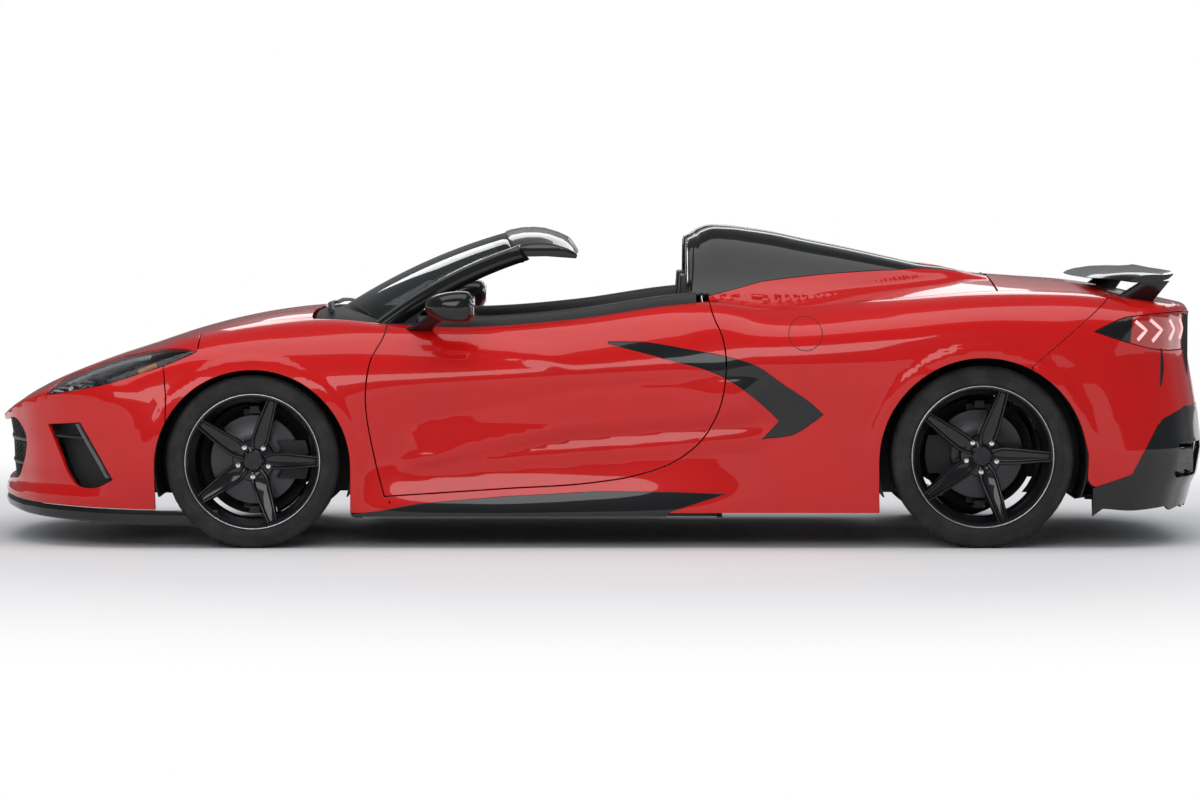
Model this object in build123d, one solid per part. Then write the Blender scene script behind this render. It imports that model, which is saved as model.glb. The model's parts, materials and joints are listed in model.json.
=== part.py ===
from build123d import *
import math
import os

# Open two-seat car with its engine behind the seats, roof stowed.
# Millimetres. Nose toward -X, tail toward +X, left side toward -Y, ground at Z = 0.

os.makedirs("parts", exist_ok=True)

# Leading sizes
LENGTH = 4630
HALF_LENGTH = LENGTH / 2
BODY_WIDTH = 1934
PIN_R = 2.4
LID_PIN_R = 4.6
WHEELBASE = 2723
FRONT_OVERHANG = 1012
FRONT_AXLE_X = FRONT_OVERHANG - HALF_LENGTH
REAR_AXLE_X = FRONT_AXLE_X + WHEELBASE
FRONT_TRACK = 1648
REAR_TRACK = 1586
FRONT_Y = FRONT_TRACK / 2
REAR_Y = REAR_TRACK / 2

# Tyres and rims
FRONT_TYRE_R = 324
REAR_TYRE_R = 342
FRONT_TYRE_W = 245
REAR_TYRE_W = 305
FRONT_RIM_R = 241
REAR_RIM_R = 254
RIM_FLANGE = 13
ROUND_SIDES = 48
LUG_PCD = 120
LUG_HOLE_R = 7.25
LUG_COUNT = 5
HUB_BORE_R = 33.5
FRONT_RIM_W = 216
REAR_RIM_W = 280
DISC_R = 168
DISC_THICK = 26
STEER_AXIS_Y = 790
SEAT_Y = 376
BALL_RISE = 187
AXLE_R = 33

# Clearances
SEAM = 5
ARCH_R_FRONT = 365
ARCH_DROP_FRONT = 21
ARCH_R_REAR = 388
ARCH_DROP_REAR = 18
LINER_THICK = 6
SKIN = 30
LID_THICK = 34
LID_AIR = 10
HINGE_GAP = 4
DOOR_INNER_Y = 790
DOOR_BELT_Y = 742

# Hinge lines
DOOR_HINGE_X = -878.7
DOOR_HINGE_Y = 924.5
HOOD_HINGE_X = -1092
HOOD_HINGE_Z = 870
DECK_HINGE_X = 1489
DECK_HINGE_Z = 1004

# Body half sections: x, then y and z of the hem, flank, belly, shoulder crease,
# belt, crown and inner top, and last the height on the centre line.
COLUMNS = ("x", "hem", "flank", "belly", "crease", "belt", "crown", "inner", "mid_z")
BODY = (
    (-2315, (905, 132), (925, 250), (925, 330), (900, 400), (860, 425), (760, 440), (560, 452), 458),
    (-2229, (905, 132), (930, 260), (930, 380), (905, 455), (865, 485), (765, 503), (560, 522), 531),
    (-2135, (905, 132), (935, 260), (935, 420), (910, 510), (870, 542), (770, 560), (560, 580), 589),
    (-2041, (905, 132), (938, 260), (938, 450), (915, 545), (875, 580), (775, 598), (565, 622), 631),
    (-1947, (905, 132), (940, 260), (942, 460), (920, 570), (880, 610), (780, 635), (570, 659), 668),
    (-1760, (908, 132), (944, 270), (948, 480), (928, 605), (885, 665), (785, 699), (585, 721), 730),
    (-1572, (912, 132), (948, 290), (954, 480), (935, 617), (890, 715), (790, 764), (600, 783), 792),
    (-1303, (915, 132), (950, 300), (958, 480), (943, 618), (895, 748), (795, 810), (620, 840), 853),
    (-1131, (915, 132), (945, 300), (955, 480), (940, 618), (890, 752), (800, 816), (650, 856), 872),
    (-945, (920, 132), (925, 300), (935, 480), (930, 620), (880, 757), (810, 816), (700, 850), 884),
    (-810, (925, 132), (905, 300), (915, 480), (922, 626), (870, 758), (820, 808), (740, 832), 880),
    (-500, (930, 132), (895, 300), (900, 470), (922, 645), (860, 770), (815, 812), (745, 822), 830),
    (-100, (930, 132), (900, 300), (898, 470), (925, 670), (855, 800), (800, 846), (740, 852), 855),
    (300, (930, 132), (912, 300), (905, 470), (930, 690), (860, 850), (785, 902), (720, 910), 915),
    (461, (930, 132), (925, 300), (925, 470), (945, 700), (880, 852), (795, 905), (700, 922), 945),
    (614, (932, 132), (935, 300), (940, 470), (955, 700), (905, 825), (800, 880), (720, 905), 985),
    (1045, (938, 132), (950, 300), (958, 470), (967, 700), (925, 840), (810, 908), (720, 928), 1005),
    (1420, (938, 140), (952, 300), (962, 480), (966, 700), (930, 870), (820, 937), (720, 954), 1010),
    (1640, (936, 150), (952, 300), (962, 480), (962, 700), (925, 870), (820, 940), (720, 955), 996),
    (1801, (930, 170), (950, 320), (958, 480), (955, 700), (918, 868), (815, 936), (700, 950), 984),
    (1950, (920, 180), (945, 330), (950, 480), (945, 700), (905, 860), (800, 922), (680, 936), 962),
    (2100, (905, 190), (935, 340), (938, 480), (930, 700), (890, 852), (780, 905), (660, 915), 930),
    (2200, (890, 200), (925, 340), (928, 480), (915, 690), (875, 842), (770, 888), (650, 898), 909),
    (2315, (880, 210), (910, 340), (915, 450), (900, 640), (860, 800), (760, 850), (640, 865), 880),
)

# Plan of the nose and of the tail, and the side profile of the tail
NOSE_PLAN = (
    (-2315, 0), (-2306, 260), (-2270, 470), (-2200, 640), (-2100, 775), (-1980, 865), (-1840, 925), (-1700, 980),
)
TAIL_PLAN = (
    (2315, 0), (2306, 300), (2275, 540), (2215, 720), (2130, 840), (2020, 915), (1900, 960), (1780, 1000),
)
TAIL_PROFILE = (
    (2195, 960), (2239, 900), (2266, 864), (2260, 713), (2301, 479), (2311, 390), (2315, 363), (2297, 260),
    (2275, 160),
)


def wire(points):
    return Wire.make_polygon(points, close=True)


def box(x0, x1, y0, y1, z0, z1):
    return Solid.make_box(x1 - x0, y1 - y0, z1 - z0, Plane((x0, y0, z0)))


def prism(points, direction):
    return Solid.extrude(Face(wire(points)), Vector(direction))


def side_prism(outline, y0, y1):
    return prism([(x, y0, z) for x, z in outline], (0, y1 - y0, 0))


def plan_prism(outline, z0, z1):
    return prism([(x, y, z0) for x, y in outline], (0, 0, z1 - z0))


def front_prism(outline, x0, x1):
    return prism([(x0, y, z) for y, z in outline], (x1 - x0, 0, 0))


def rod(p, q, r):
    p = Vector(p)
    q = Vector(q)
    return Solid.make_cylinder(r, (q - p).length, Plane(origin=p, z_dir=q - p))


def disc_y(x, z, r, y0, y1):
    return Solid.make_cylinder(r, y1 - y0, Plane(origin=(x, y0, z), z_dir=(0, 1, 0)))


def closed_solid(faces):
    # Solid bounded by flat faces that meet edge to edge
    made = Solid(Shell(faces))
    return made if made.volume > 0 else Solid(-Shell(faces))


def flat_loft(sections, centre):
    # Skin of flat triangles over like sections, the diagonals turning over at the centre point
    faces = [Face(wire(sections[0])), Face(wire(sections[-1]))]
    count = len(sections[0])
    for here, there in zip(sections, sections[1:]):
        for j in range(count):
            k = (j + 1) % count
            a, b, c, d = here[j], here[k], there[k], there[j]
            halves = ((a, b, c), (a, c, d)) if j < centre else ((a, b, d), (b, c, d))
            faces += [Face(wire(half)) for half in halves]
    return closed_solid(faces)


def flat_turn(profile, sides):
    # Many-sided body of revolution about Z from points (along the axis, radius to the flats)
    faces = []
    step = math.pi / sides
    for k in range(sides):
        ends = []
        for turn in ((2 * k - 1) * step, (2 * k + 1) * step):
            ends.append([
                (r / math.cos(step) * math.cos(turn), r / math.cos(step) * math.sin(turn), a) for a, r in profile])
        for j in range(len(profile)):
            n = (j + 1) % len(profile)
            faces.append(Face(wire([ends[0][j], ends[0][n], ends[1][n], ends[1][j]])))
    return closed_solid(faces)


def turned_y(x, z, profile):
    # The same about an axle along Y, with a flat at the bottom
    return Plane(origin=(x, 0, z), x_dir=(1, 0, 0), z_dir=(0, 1, 0)).location * flat_turn(profile, ROUND_SIDES)


def wheel_disc(x, z, r, y0, y1):
    # Many-sided disc about an axle, with a flat at the bottom
    step = math.pi / ROUND_SIDES
    far = r / math.cos(step)
    turns = [(2 * k + 1) * step for k in range(ROUND_SIDES)]
    return side_prism([(x + far * math.cos(t), z + far * math.sin(t)) for t in turns], y0, y1)


def flip(shape):
    return mirror(shape, about=Plane.XZ)


def both(shape):
    return [shape, flip(shape)]


def solids_of(shapes):
    if not isinstance(shapes, (list, tuple)):
        shapes = [shapes]
    found = []
    for shape in shapes:
        found += shape.solids()
    return found


def save(name, shapes):
    found = [s for s in solids_of(shapes) if s.volume > 500]
    export_step(Compound(found), "parts/" + name + ".step")


def grow(outline, amount):
    # Outline moved outward by an amount, its corners kept
    count = len(outline)
    area = 0
    for i in range(count):
        x0, z0 = outline[i]
        x1, z1 = outline[(i + 1) % count]
        area += x0 * z1 - x1 * z0
    turn = 1 if area > 0 else -1
    moved = []
    for i in range(count):
        ax, az = outline[i - 1]
        bx, bz = outline[i]
        cx, cz = outline[(i + 1) % count]
        d1 = math.hypot(bx - ax, bz - az)
        d2 = math.hypot(cx - bx, cz - bz)
        n1 = ((bz - az) / d1 * turn, -(bx - ax) / d1 * turn)
        n2 = ((cz - bz) / d2 * turn, -(cx - bx) / d2 * turn)
        half = max(1 + n1[0] * n2[0] + n1[1] * n2[1], 0.5)
        moved.append((bx + amount * (n1[0] + n2[0]) / half, bz + amount * (n1[1] + n2[1]) / half))
    return moved


def body_section(row, inset):
    # Closed cross section at one station, its skin moved inward by the inset
    x, hem, flank, belly, crease, belt, crown, inner, mid_z = row
    half = [
        (hem[0] - inset, hem[1] - 20),
        (flank[0] - inset, flank[1]),
        (belly[0] - inset, belly[1]),
        (crease[0] - inset, crease[1] - 0.1 * inset),
        (belt[0] - 0.85 * inset, belt[1] - 0.5 * inset),
        (crown[0] - 0.45 * inset, crown[1] - 0.95 * inset),
        (inner[0] - 0.1 * inset, inner[1] - inset),
        (0, mid_z - inset),
    ]
    left = [(-y, z) for y, z in reversed(half[:-1])]
    return [(x, y, z) for y, z in half + left]


def body_loft(inset):
    middle = len(COLUMNS) - 2
    return flat_loft([body_section(row, inset) for row in BODY], middle)


def end_envelope(inset):
    # Plan and tail profile that round the two ends of the body
    nose = [(x + inset, y - inset * 0.5 * (y > 0)) for x, y in NOSE_PLAN]
    tail = [(x - inset, y - inset * 0.5 * (y > 0)) for x, y in TAIL_PLAN]
    right = nose + list(reversed(tail))
    left = [(x, -y) for x, y in reversed(right) if y > 0]
    plan = plan_prism(right + left, 60, 1300)
    rear = [(x - inset, z) for x, z in TAIL_PROFILE]
    side = side_prism([(-2400, 60), (-2400, 1300), (2195 - inset, 1300)] + rear + [(2275 - inset, 60)], -1100, 1100)
    return plan & side


def skin_between(outer_inset, inner_inset):
    return SOLID[outer_inset] - SOLID[inner_inset]


SOLID = {}
for depth in (0, SKIN, LID_THICK, LID_THICK + LID_AIR, 60, 140):
    SOLID[depth] = body_loft(depth) & end_envelope(depth)


# Side outlines of the panels, x and z
DOOR_OUTLINE = (
    (-810, 196), (-377, 224), (-27, 248), (102, 268), (292, 338), (371, 406), (431, 510), (458, 637),
    (458, 732), (447, 787), (413, 869), (388, 1000), (-800, 1000), (-812, 795), (-862, 695), (-876, 615),
    (-842, 320),
)
SKIRT_OUTLINE = (
    (-932, 118), (-932, 128), (-845, 137), (-686, 166), (-377, 193), (-17, 212), (272, 210), (455, 203),
    (470, 118),
)
LAMP_OUTLINE = (
    (-2083, 569), (-1935, 596), (-1850, 614), (-1744, 647), (-1611, 692), (-1512, 734), (-1585, 741),
    (-1664, 735), (-1744, 718), (-1850, 690), (-1956, 650), (-2046, 612),
)
BLADE_OUTLINE = (
    (22, 772), (172, 769), (321, 744), (461, 717), (565, 687), (680, 610), (784, 539), (826, 500),
    (793, 475), (719, 427), (596, 408), (659, 475), (589, 542), (461, 634), (222, 710), (23, 762),
)
INTAKE_OUTLINE = ((463, 632), (589, 540), (657, 475), (590, 432), (511, 500), (463, 520))
TAIL_LAMP_OUTLINE = (
    (1835, 810), (1959, 861), (2015, 868), (2095, 875), (2400, 870), (2400, 748), (2058, 744), (1959, 770),
)
DIFFUSER_OUTLINE = (
    (2400, 521), (2198, 521), (2102, 481), (2077, 455), (1977, 275), (1830, 226), (1830, 60), (2400, 60),
)
CORNER_INTAKE = ((-2080, 458), (-1950, 468), (-1824, 255), (-1892, 224), (-1966, 233), (-1998, 272), (-2030, 344))
SPLITTER_OUTLINE = ((-2400, 178), (-2180, 160), (-1908, 150), (-1640, 142), (-1640, 100), (-2400, 100))
FENDER_FRONT = ((-1640, 100), (-1625, 560), (-1640, 700), (-1512, 740))

# Plan outlines of the lids, x and y of the right half
HOOD_HALF = (
    (-2118, 0), (-2100, 220), (-2050, 400), (-1980, 540), (-1572, 634), (-1303, 662), (-1170, 669), (-1095, 669),
    (-1095, 0),
)
TONNEAU_HALF = (
    (404, 0), (404, 700), (614, 735), (1044, 752), (1250, 748), (DECK_HINGE_X - HINGE_GAP, 724),
    (DECK_HINGE_X - HINGE_GAP, 0),
)
DECK_HALF = (
    (DECK_HINGE_X + HINGE_GAP, 0), (DECK_HINGE_X + HINGE_GAP, 722), (1700, 716), (1950, 690), (2120, 640), (2300, 560), (2300, 0),
)


def mirrored(half):
    left = [(x, -y) for x, y in reversed(half) if y > 0]
    return list(half) + left


shell = skin_between(0, SKIN)
lid_shell = skin_between(0, LID_THICK)
right = box(-2400, 2400, 20, 1100, 60, 1300)



def arch_outline(x, z, r):
    # Half round over the wheel with straight sides down to the sill
    far = r / math.cos(math.pi / ROUND_SIDES)
    turns = [(2 * k + 1) * math.pi / ROUND_SIDES for k in range(ROUND_SIDES // 2)]
    return [(x + r, 60)] + [(x + far * math.cos(t), z + far * math.sin(t)) for t in turns] + [(x - r, 60)]


FRONT_ARCH_Z = FRONT_TYRE_R - ARCH_DROP_FRONT
REAR_ARCH_Z = REAR_TYRE_R - ARCH_DROP_REAR
arch_cut_front = side_prism(arch_outline(FRONT_AXLE_X, FRONT_ARCH_Z, ARCH_R_FRONT), 400, 1100)
arch_cut_rear = side_prism(arch_outline(REAR_AXLE_X, REAR_ARCH_Z, ARCH_R_REAR), 400, 1100)

hood_prism = plan_prism(mirrored(HOOD_HALF), 380, 1300)
hood_room = plan_prism(grow(mirrored(HOOD_HALF), SEAM), 380, 1300)
tonneau_prism = plan_prism(mirrored(TONNEAU_HALF), 700, 1300)
tonneau_room = plan_prism(grow(mirrored(TONNEAU_HALF), SEAM), 700, 1300)
deck_prism = plan_prism(mirrored(DECK_HALF), 878, 1300)
deck_room = plan_prism(grow(mirrored(DECK_HALF), SEAM), 872, 1300)

door_prism = side_prism(DOOR_OUTLINE, 600, 1100)
door_room = side_prism(grow(DOOR_OUTLINE, SEAM), 600, 1100)
skirt_prism = side_prism(SKIRT_OUTLINE, 600, 1100)
skirt_room = side_prism(grow(SKIRT_OUTLINE, 0.5), 600, 1100)
lamp_prism = side_prism(LAMP_OUTLINE, 560, 1100)
tail_lamp_prism = side_prism(TAIL_LAMP_OUTLINE, 500, 1100)
blade_prism = side_prism(BLADE_OUTLINE, 600, 1100)
intake_prism = side_prism(INTAKE_OUTLINE, 600, 1100)
diffuser_prism = side_prism(DIFFUSER_OUTLINE, -1100, 1100)
splitter_prism = side_prism(SPLITTER_OUTLINE, -1100, 1100)
corner_prism = side_prism(CORNER_INTAKE, 640, 1100)

# Front bumper: all of the nose ahead of the wheel arches and below the lid and the lamps
front_zone = side_prism(((-2400, 60),) + FENDER_FRONT + ((-1512, 1100), (-2400, 1100)), -1100, 1100)
fender_zone = side_prism(
    tuple((x + 3, z) for x, z in FENDER_FRONT) + ((-1509, 1100), (-1030, 1100), (-800, 1000), (-800, 60)),
    20, 1100)
GRILLE_HALF = ((0, 236), (450, 236), (560, 262), (590, 330), (560, 430), (440, 452), (0, 452))
grille_points = list(GRILLE_HALF) + [(-y, z) for y, z in reversed(GRILLE_HALF) if y > 0]
grille_prism = front_prism(grille_points, -2400, -1900)

nose_skin = (shell & front_zone) - hood_room - grille_prism - splitter_prism
for side_cut in (lamp_prism, corner_prism, arch_cut_front):
    nose_skin = nose_skin - side_cut - flip(side_cut)
save("front_bumper", nose_skin)

splitter = (SOLID[0] & splitter_prism & box(-2400, -1660, -1100, 1100, 112, 190)) - nose_skin
splitter = splitter - box(-2130, -1600, -600, 600, 60, 300) - arch_cut_front - flip(arch_cut_front)
save("front_splitter", splitter)

backer = SOLID[SKIN] - SOLID[44]
grille_back = side_prism(((-2400, 190), (-2400, 470), (-1950, 470), (-1950, 190)), -620, 620)
grilles = [backer & grille_back]
corner_back = side_prism(grow(CORNER_INTAKE, 12), 622, 1100)
corner_grille = (backer & corner_back) - grille_back
grilles += both(corner_grille)
save("front_grilles", grilles)

lamp = (shell & lamp_prism) - hood_room
save("headlamps", both(lamp))

fender = (shell & fender_zone) - hood_room - door_room - lamp_prism - arch_cut_front - skirt_room
cowl_room = plan_prism([(-1110, -20), (-1110, 692), (-830, 742), (-700, 742), (-700, -20)], 700, 1300)
fender = fender - cowl_room
door_pin = Solid.make_cylinder(PIN_R, 30, Plane((DOOR_HINGE_X, DOOR_HINGE_Y, 600)))
fender = fender + door_pin
save("front_fenders", both(fender))

# Hood lid
hood = lid_shell & hood_prism
save("hood", hood)

# Cowl: the dark panel between the lid and the windshield
COWL_HALF = ((-1083, 0), (-1083, 692), (-830, 738), (-740, 738), (-740, 660), (-900, 520), (-960, 300), (-975, 0))
cowl_zone = plan_prism(mirrored(COWL_HALF), 700, 1300)
cowl = (SOLID[0] - SOLID[LID_THICK]) & cowl_zone
cowl = cowl - door_room - flip(door_room) - fender - flip(fender)

# Door: full thickness below the belt
door_inner = front_prism((
    (-20, 60), (DOOR_INNER_Y, 60), (DOOR_INNER_Y, 560), (DOOR_BELT_Y, 690), (DOOR_BELT_Y, 1100), (-20, 1100)),
    -1000, 600)
door_full = (SOLID[0] & door_prism) - door_inner - skirt_room
blade_step = SOLID[0] - SOLID[SKIN]
door = door_full - (blade_step & blade_prism)
door_blade = (blade_step & blade_prism & door_prism)
door_trim = box(-700, 380, DOOR_BELT_Y - 22, DOOR_BELT_Y, 690, 800)
door_trim = door_trim + box(-700, 380, DOOR_BELT_Y - 22, DOOR_INNER_Y, 420, 560)
door_trim = (door_trim - door_full) & door_prism
mirror_foot = flat_loft([
    [(-735, 800, 790), (-640, 800, 790), (-640, 800, 826), (-735, 800, 826)],
    [(-690, 850, 826), (-600, 850, 826), (-600, 850, 848), (-690, 850, 848)],
    [(-640, 915, 862), (-570, 915, 862), (-570, 915, 884), (-640, 915, 884)],
], 4) - door_full
mirror_case = flat_loft([
    [(-640, 890, 850), (-500, 890, 850), (-495, 890, 940), (-560, 890, 940)],
    [(-660, 920, 840), (-486, 920, 838), (-481, 920, 960), (-596, 920, 952)],
    [(-655, 965, 842), (-480, 965, 838), (-475, 965, 962), (-590, 965, 955)],
    [(-600, 1030, 862), (-490, 1030, 858), (-485, 1030, 945), (-560, 1030, 940)],
], 4)
mirror_part = mirror_case + (mirror_foot - mirror_case)

for side, turn in (("right", lambda s: s), ("left", flip)):
    save("door_" + side, turn(door))
    save("door_blade_" + side, turn(door_blade))
    save("door_trim_" + side, turn(door_trim))
    save("door_mirror_" + side, turn(mirror_part))

# Side skirts and rear quarters
skirt = (SOLID[0] & skirt_prism) - front_prism(((-20, 60), (840, 60), (840, 1100), (-20, 1100)), -1000, 600)
skirt = skirt - arch_cut_front - arch_cut_rear
save("side_skirts", both(skirt))

rear_zone = side_prism(((380, 60), (380, 1100), (1897, 1100)) + ((1897, 935), (1598, 680), (1640, 60)), 20, 1100)
quarter = shell & rear_zone & box(370, 1910, 640, 1100, 60, 1100)
for cut in (tonneau_room, deck_room, door_room, skirt_room, arch_cut_rear, intake_prism, blade_prism):
    quarter = quarter - cut
save("rear_quarters", both(quarter))
quarter_blade = (blade_step & blade_prism) - door_room
save("quarter_intake_blades", both(quarter_blade))

duct = ((SOLID[SKIN] - SOLID[140]) & side_prism(grow(INTAKE_OUTLINE, 10), 600, 1100)) - (
    (SOLID[0] - SOLID[140]) & side_prism(INTAKE_OUTLINE, 600, 1100) & box(300, 800, 815, 1100, 300, 800))
duct = duct - door_room - quarter_blade

# Rear bumper, lamps and diffuser
tail_zone = side_prism(((1602, 60), (1602, 680), (1901, 935), (1901, 1100), (2400, 1100), (2400, 60)), -1100, 1100)
bumper = (shell & tail_zone) - deck_room - diffuser_prism
for side_cut in (tail_lamp_prism, arch_cut_rear):
    bumper = bumper - side_cut - flip(side_cut)
save("rear_bumper", bumper)
tail_lamp = (shell & tail_lamp_prism) - deck_room
save("tail_lamps", both(tail_lamp))
diffuser_floor = side_prism(((1834, 150), (1834, 164), (2040, 222), (2290, 252), (2290, 238), (2040, 208)), -900, 900)
diffuser = (shell & diffuser_prism) + (diffuser_floor & SOLID[0])

# Tonneau with its two nacelles
nacelle_rows = (
    (404, 330, 150, 1120), (440, 345, 170, 1165), (500, 350, 178, 1190), (600, 350, 178, 1182), (760, 345, 165, 1150),
    (940, 335, 145, 1112), (1150, 320, 115, 1064), (1300, 310, 90, 1034), (1430, 300, 60, 990),
)


def nacelle_section(row, inset, slide):
    x, mid, half, top = row
    half = half - 0.6 * inset
    top = top - inset
    rise = top - 940
    return [
        (x + slide, mid - 1.5 * half, 900), (x + slide, mid + 1.75 * half, 900),
        (x + slide, mid + 1.7 * half, 940 + 0.15 * rise), (x + slide, mid + 1.2 * half, 940 + 0.72 * rise),
        (x + slide, mid + 0.6 * half, top - 8), (x + slide, mid, top), (x + slide, mid - 0.7 * half, top - 12),
        (x + slide, mid - 1.2 * half, 940 + 0.6 * rise), (x + slide, mid - 1.45 * half, 950 - 0.3 * inset),
    ]


nacelle = flat_loft([nacelle_section(row, 0, 0) for row in nacelle_rows], 5)
nacelle_room = flat_loft([nacelle_section(row, 32, 26) for row in nacelle_rows[:-3]], 5)
tonneau_top = (SOLID[0] + nacelle + flip(nacelle)) & tonneau_prism
tonneau_under = plan_prism(mirrored(TONNEAU_HALF), 500, 905)
tonneau = tonneau_top - SOLID[LID_THICK] - tonneau_under - nacelle_room - flip(nacelle_room)
save("tonneau", tonneau)

# Deck lid and its raised spoiler
deck = lid_shell & deck_prism
deck = deck - tail_lamp_prism - flip(tail_lamp_prism)
save("decklid", deck)
blade_rows = (
    (0, 1890, 250, 1000), (300, 1892, 248, 1001), (560, 1900, 240, 1000), (700, 1915, 225, 990), (760, 1930, 200, 972),
)
wing = flat_loft([
    [(x, y, z), (x + 0.4 * c, y, z + 30), (x + c, y, z + 22), (x + c, y, z + 12), (x + 0.4 * c, y, z + 8)]
    for y, x, c, z in blade_rows], 5)
pylon = flat_loft([
    [(1905, 700, 900), (2080, 672, 900), (2080, 690, 900), (1905, 718, 900)],
    [(1945, 730, 975), (2120, 722, 975), (2120, 740, 975), (1945, 748, 975)],
    [(1960, 742, 992), (2125, 738, 992), (2125, 752, 992), (1960, 758, 992)],
], 4) - SOLID[0]
pylon = pylon - wing
spoiler = wing + flip(wing) + pylon + flip(pylon)
save("spoiler", spoiler)

# Windshield and its frame, on curved base and top lines
BASE_LINE = ((0, -1000, 884), (300, -985, 878), (520, -930, 862), (690, -850, 828))
TOP_LINE = ((0, -372, 1168), (260, -362, 1158), (440, -346, 1138), (556, -330, 1108))
GLASS_THICK = 6


def pane(a, b, drop):
    # One parallel section of the windshield between its base and top lines
    (y0, x0, z0), (y1, x1, z1) = a, b
    return [(x0, y0, z0), (x1, y1, z1), (x1 + 3, y1, z1 - drop), (x0 + 3, y0, z0 - drop)]


glass_half = flat_loft([pane(a, b, GLASS_THICK) for a, b in zip(BASE_LINE, TOP_LINE)], 4)
windshield = [glass_half + flip(glass_half)]
save("windshield", windshield)
cowl = cowl - windshield[0]
hood_pin = rod((HOOD_HINGE_X, 60, HOOD_HINGE_Z), (HOOD_HINGE_X, 120, HOOD_HINGE_Z), PIN_R)
hood_pin = hood_pin + box(HOOD_HINGE_X, -1080, 60, 120, HOOD_HINGE_Z - 12, HOOD_HINGE_Z)
cowl = cowl + hood_pin + flip(hood_pin)
save("cowl_panel", cowl)

HEADER = ((-6, 1), (60, 17), (150, 18), (236, -14), (232, -34), (120, -26), (14, -28))
header_half = flat_loft([[(x + dx, y, z + dz) for dx, dz in HEADER] for y, x, z in TOP_LINE], 7)


def pillar_section(t):
    # Section across the pillar at a share of the windshield's side edge
    (y0, x0, z0), (y1, x1, z1) = BASE_LINE[-1], TOP_LINE[-1]
    x, y, z = x0 + t * (x1 - x0), y0 + t * (y1 - y0), z0 + t * (z1 - z0)
    return [(x, y - 12, z - 40), (x, y + 34, z - 44), (x, y + 36, z - 12), (x, y + 16, z + 8), (x, y - 8, z + 10)]


pillar = flat_loft([pillar_section(t) for t in (-0.06, 0.5, 1.06)], 5)
frame_half = header_half + pillar
frame = (frame_half + flip(frame_half)) - windshield[0] - cowl
frame = max(frame.solids(), key=lambda part: part.volume)
save("windshield_frame", frame)

# Tub: floor, sills, tunnel, bulkheads, rails and towers in one structure
INNER = SOLID[SKIN]
LID_CORE = SOLID[LID_THICK + LID_AIR]
front_wall = INNER & box(-925, -895, -1100, 1100, 112, 860)
front_wall = front_wall & (LID_CORE + box(-925, -895, -1100, 1100, 100, 700))
rear_wall = INNER & box(430, 450, -1100, 1100, 112, 860)
for cut in (door_prism, door_room):
    front_wall = front_wall - cut - flip(cut)
    rear_wall = rear_wall - cut - flip(cut)
tub_parts = [
    box(-925, 450, -700, 700, 114, 140),
    box(-925, 450, -112, 112, 140, 300),
    front_wall, rear_wall,
]
for s in (1, -1):
    tub_parts += [
        box(-925, 450, min(s * 640, s * 775), max(s * 640, s * 775), 114, 300),
        box(-925, 450, min(s * 775, s * 840), max(s * 775, s * 840), 114, 185),
        box(-2190, -900, min(s * 400, s * 480), max(s * 400, s * 480), 230, 320),
        box(440, 2230, min(s * 400, s * 480), max(s * 400, s * 480), 240, 330),
        box(FRONT_AXLE_X - 70, FRONT_AXLE_X + 70, min(s * 440, s * 530), max(s * 440, s * 530), 230, 640),
        box(REAR_AXLE_X - 70, REAR_AXLE_X + 70, min(s * 440, s * 560), max(s * 440, s * 560), 240, 700),
    ]
tub_parts += [
    box(-2200, -2160, -470, 470, 230, 420),
    box(2190, 2230, -560, 560, 240, 420),
    box(-1960, -1930, -700, 700, 200, 420),
    box(1870, 1900, -700, 700, 200, 330),
]
tub = tub_parts[0]
for piece in tub_parts[1:]:
    tub = tub + piece

# Wheel house liners: a half round shell over each wheel with its inner wall
FRONT_WALL_Y = 532
REAR_WALL_Y = 618


def liner(x, z, r, wall_y, low, hole):
    shell_half = wheel_disc(x, z, r + LINER_THICK, wall_y - LINER_THICK, 1000) - wheel_disc(x, z, r, wall_y, 1010)
    shell_half = shell_half & box(x - 500, x + 500, 400, 1010, low, 900) & INNER
    return shell_half - wheel_disc(x, z + 20, hole, 400, wall_y + 5) - door_room - skirt_prism


front_liner = liner(FRONT_AXLE_X, FRONT_ARCH_Z, ARCH_R_FRONT, FRONT_WALL_Y, 190, 225)
rear_liner = liner(REAR_AXLE_X, REAR_ARCH_Z, ARCH_R_REAR, REAR_WALL_Y, 190, 230)
liners = both(front_liner) + both(rear_liner) + both(duct - rear_liner)
save("wheel_house_liners", liners)

# Lid gutters and the two luggage tubs
TUB_WALL = 8


def gutter(rooms):
    # Plate below the skin that steps down under the lids
    wide = INNER
    for room in rooms:
        wide = wide - room
    inside = LID_CORE & rooms[0]
    for room in rooms[1:]:
        inside = inside + (LID_CORE & room)
    return (wide + inside) - SOLID[60]


front_gutter_zone = plan_prism(grow(mirrored(HOOD_HALF), 34), 450, 1300)
rear_gutter_half = (
    (470, 0), (470, 735), (1044, 790), (1485, 770), (1700, 756), (1950, 730), (2120, 690), (2220, 600), (2220, 0))
rear_gutter_zone = plan_prism(mirrored(rear_gutter_half), 450, 1300)
front_gutter = gutter([hood_room]) & front_gutter_zone
rear_gutter = gutter([tonneau_room, deck_room]) & rear_gutter_zone
front_box = box(-1890, -1430, -480, 480, 320, 1000) & LID_CORE
front_hollow = box(-1890 + TUB_WALL, -1430 - TUB_WALL, -480 + TUB_WALL, 480 - TUB_WALL, 320 + TUB_WALL, 1000)
rear_box = box(1640, 2170, -520, 520, 330, 1000) & LID_CORE
rear_hollow = box(1640 + TUB_WALL, 2170 - TUB_WALL, -520 + TUB_WALL, 520 - TUB_WALL, 330 + TUB_WALL, 1000)
luggage_front = (front_gutter + front_box) - front_hollow
service_gap = box(-1395, -1160, -420, 420, 500, 1000)
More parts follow.
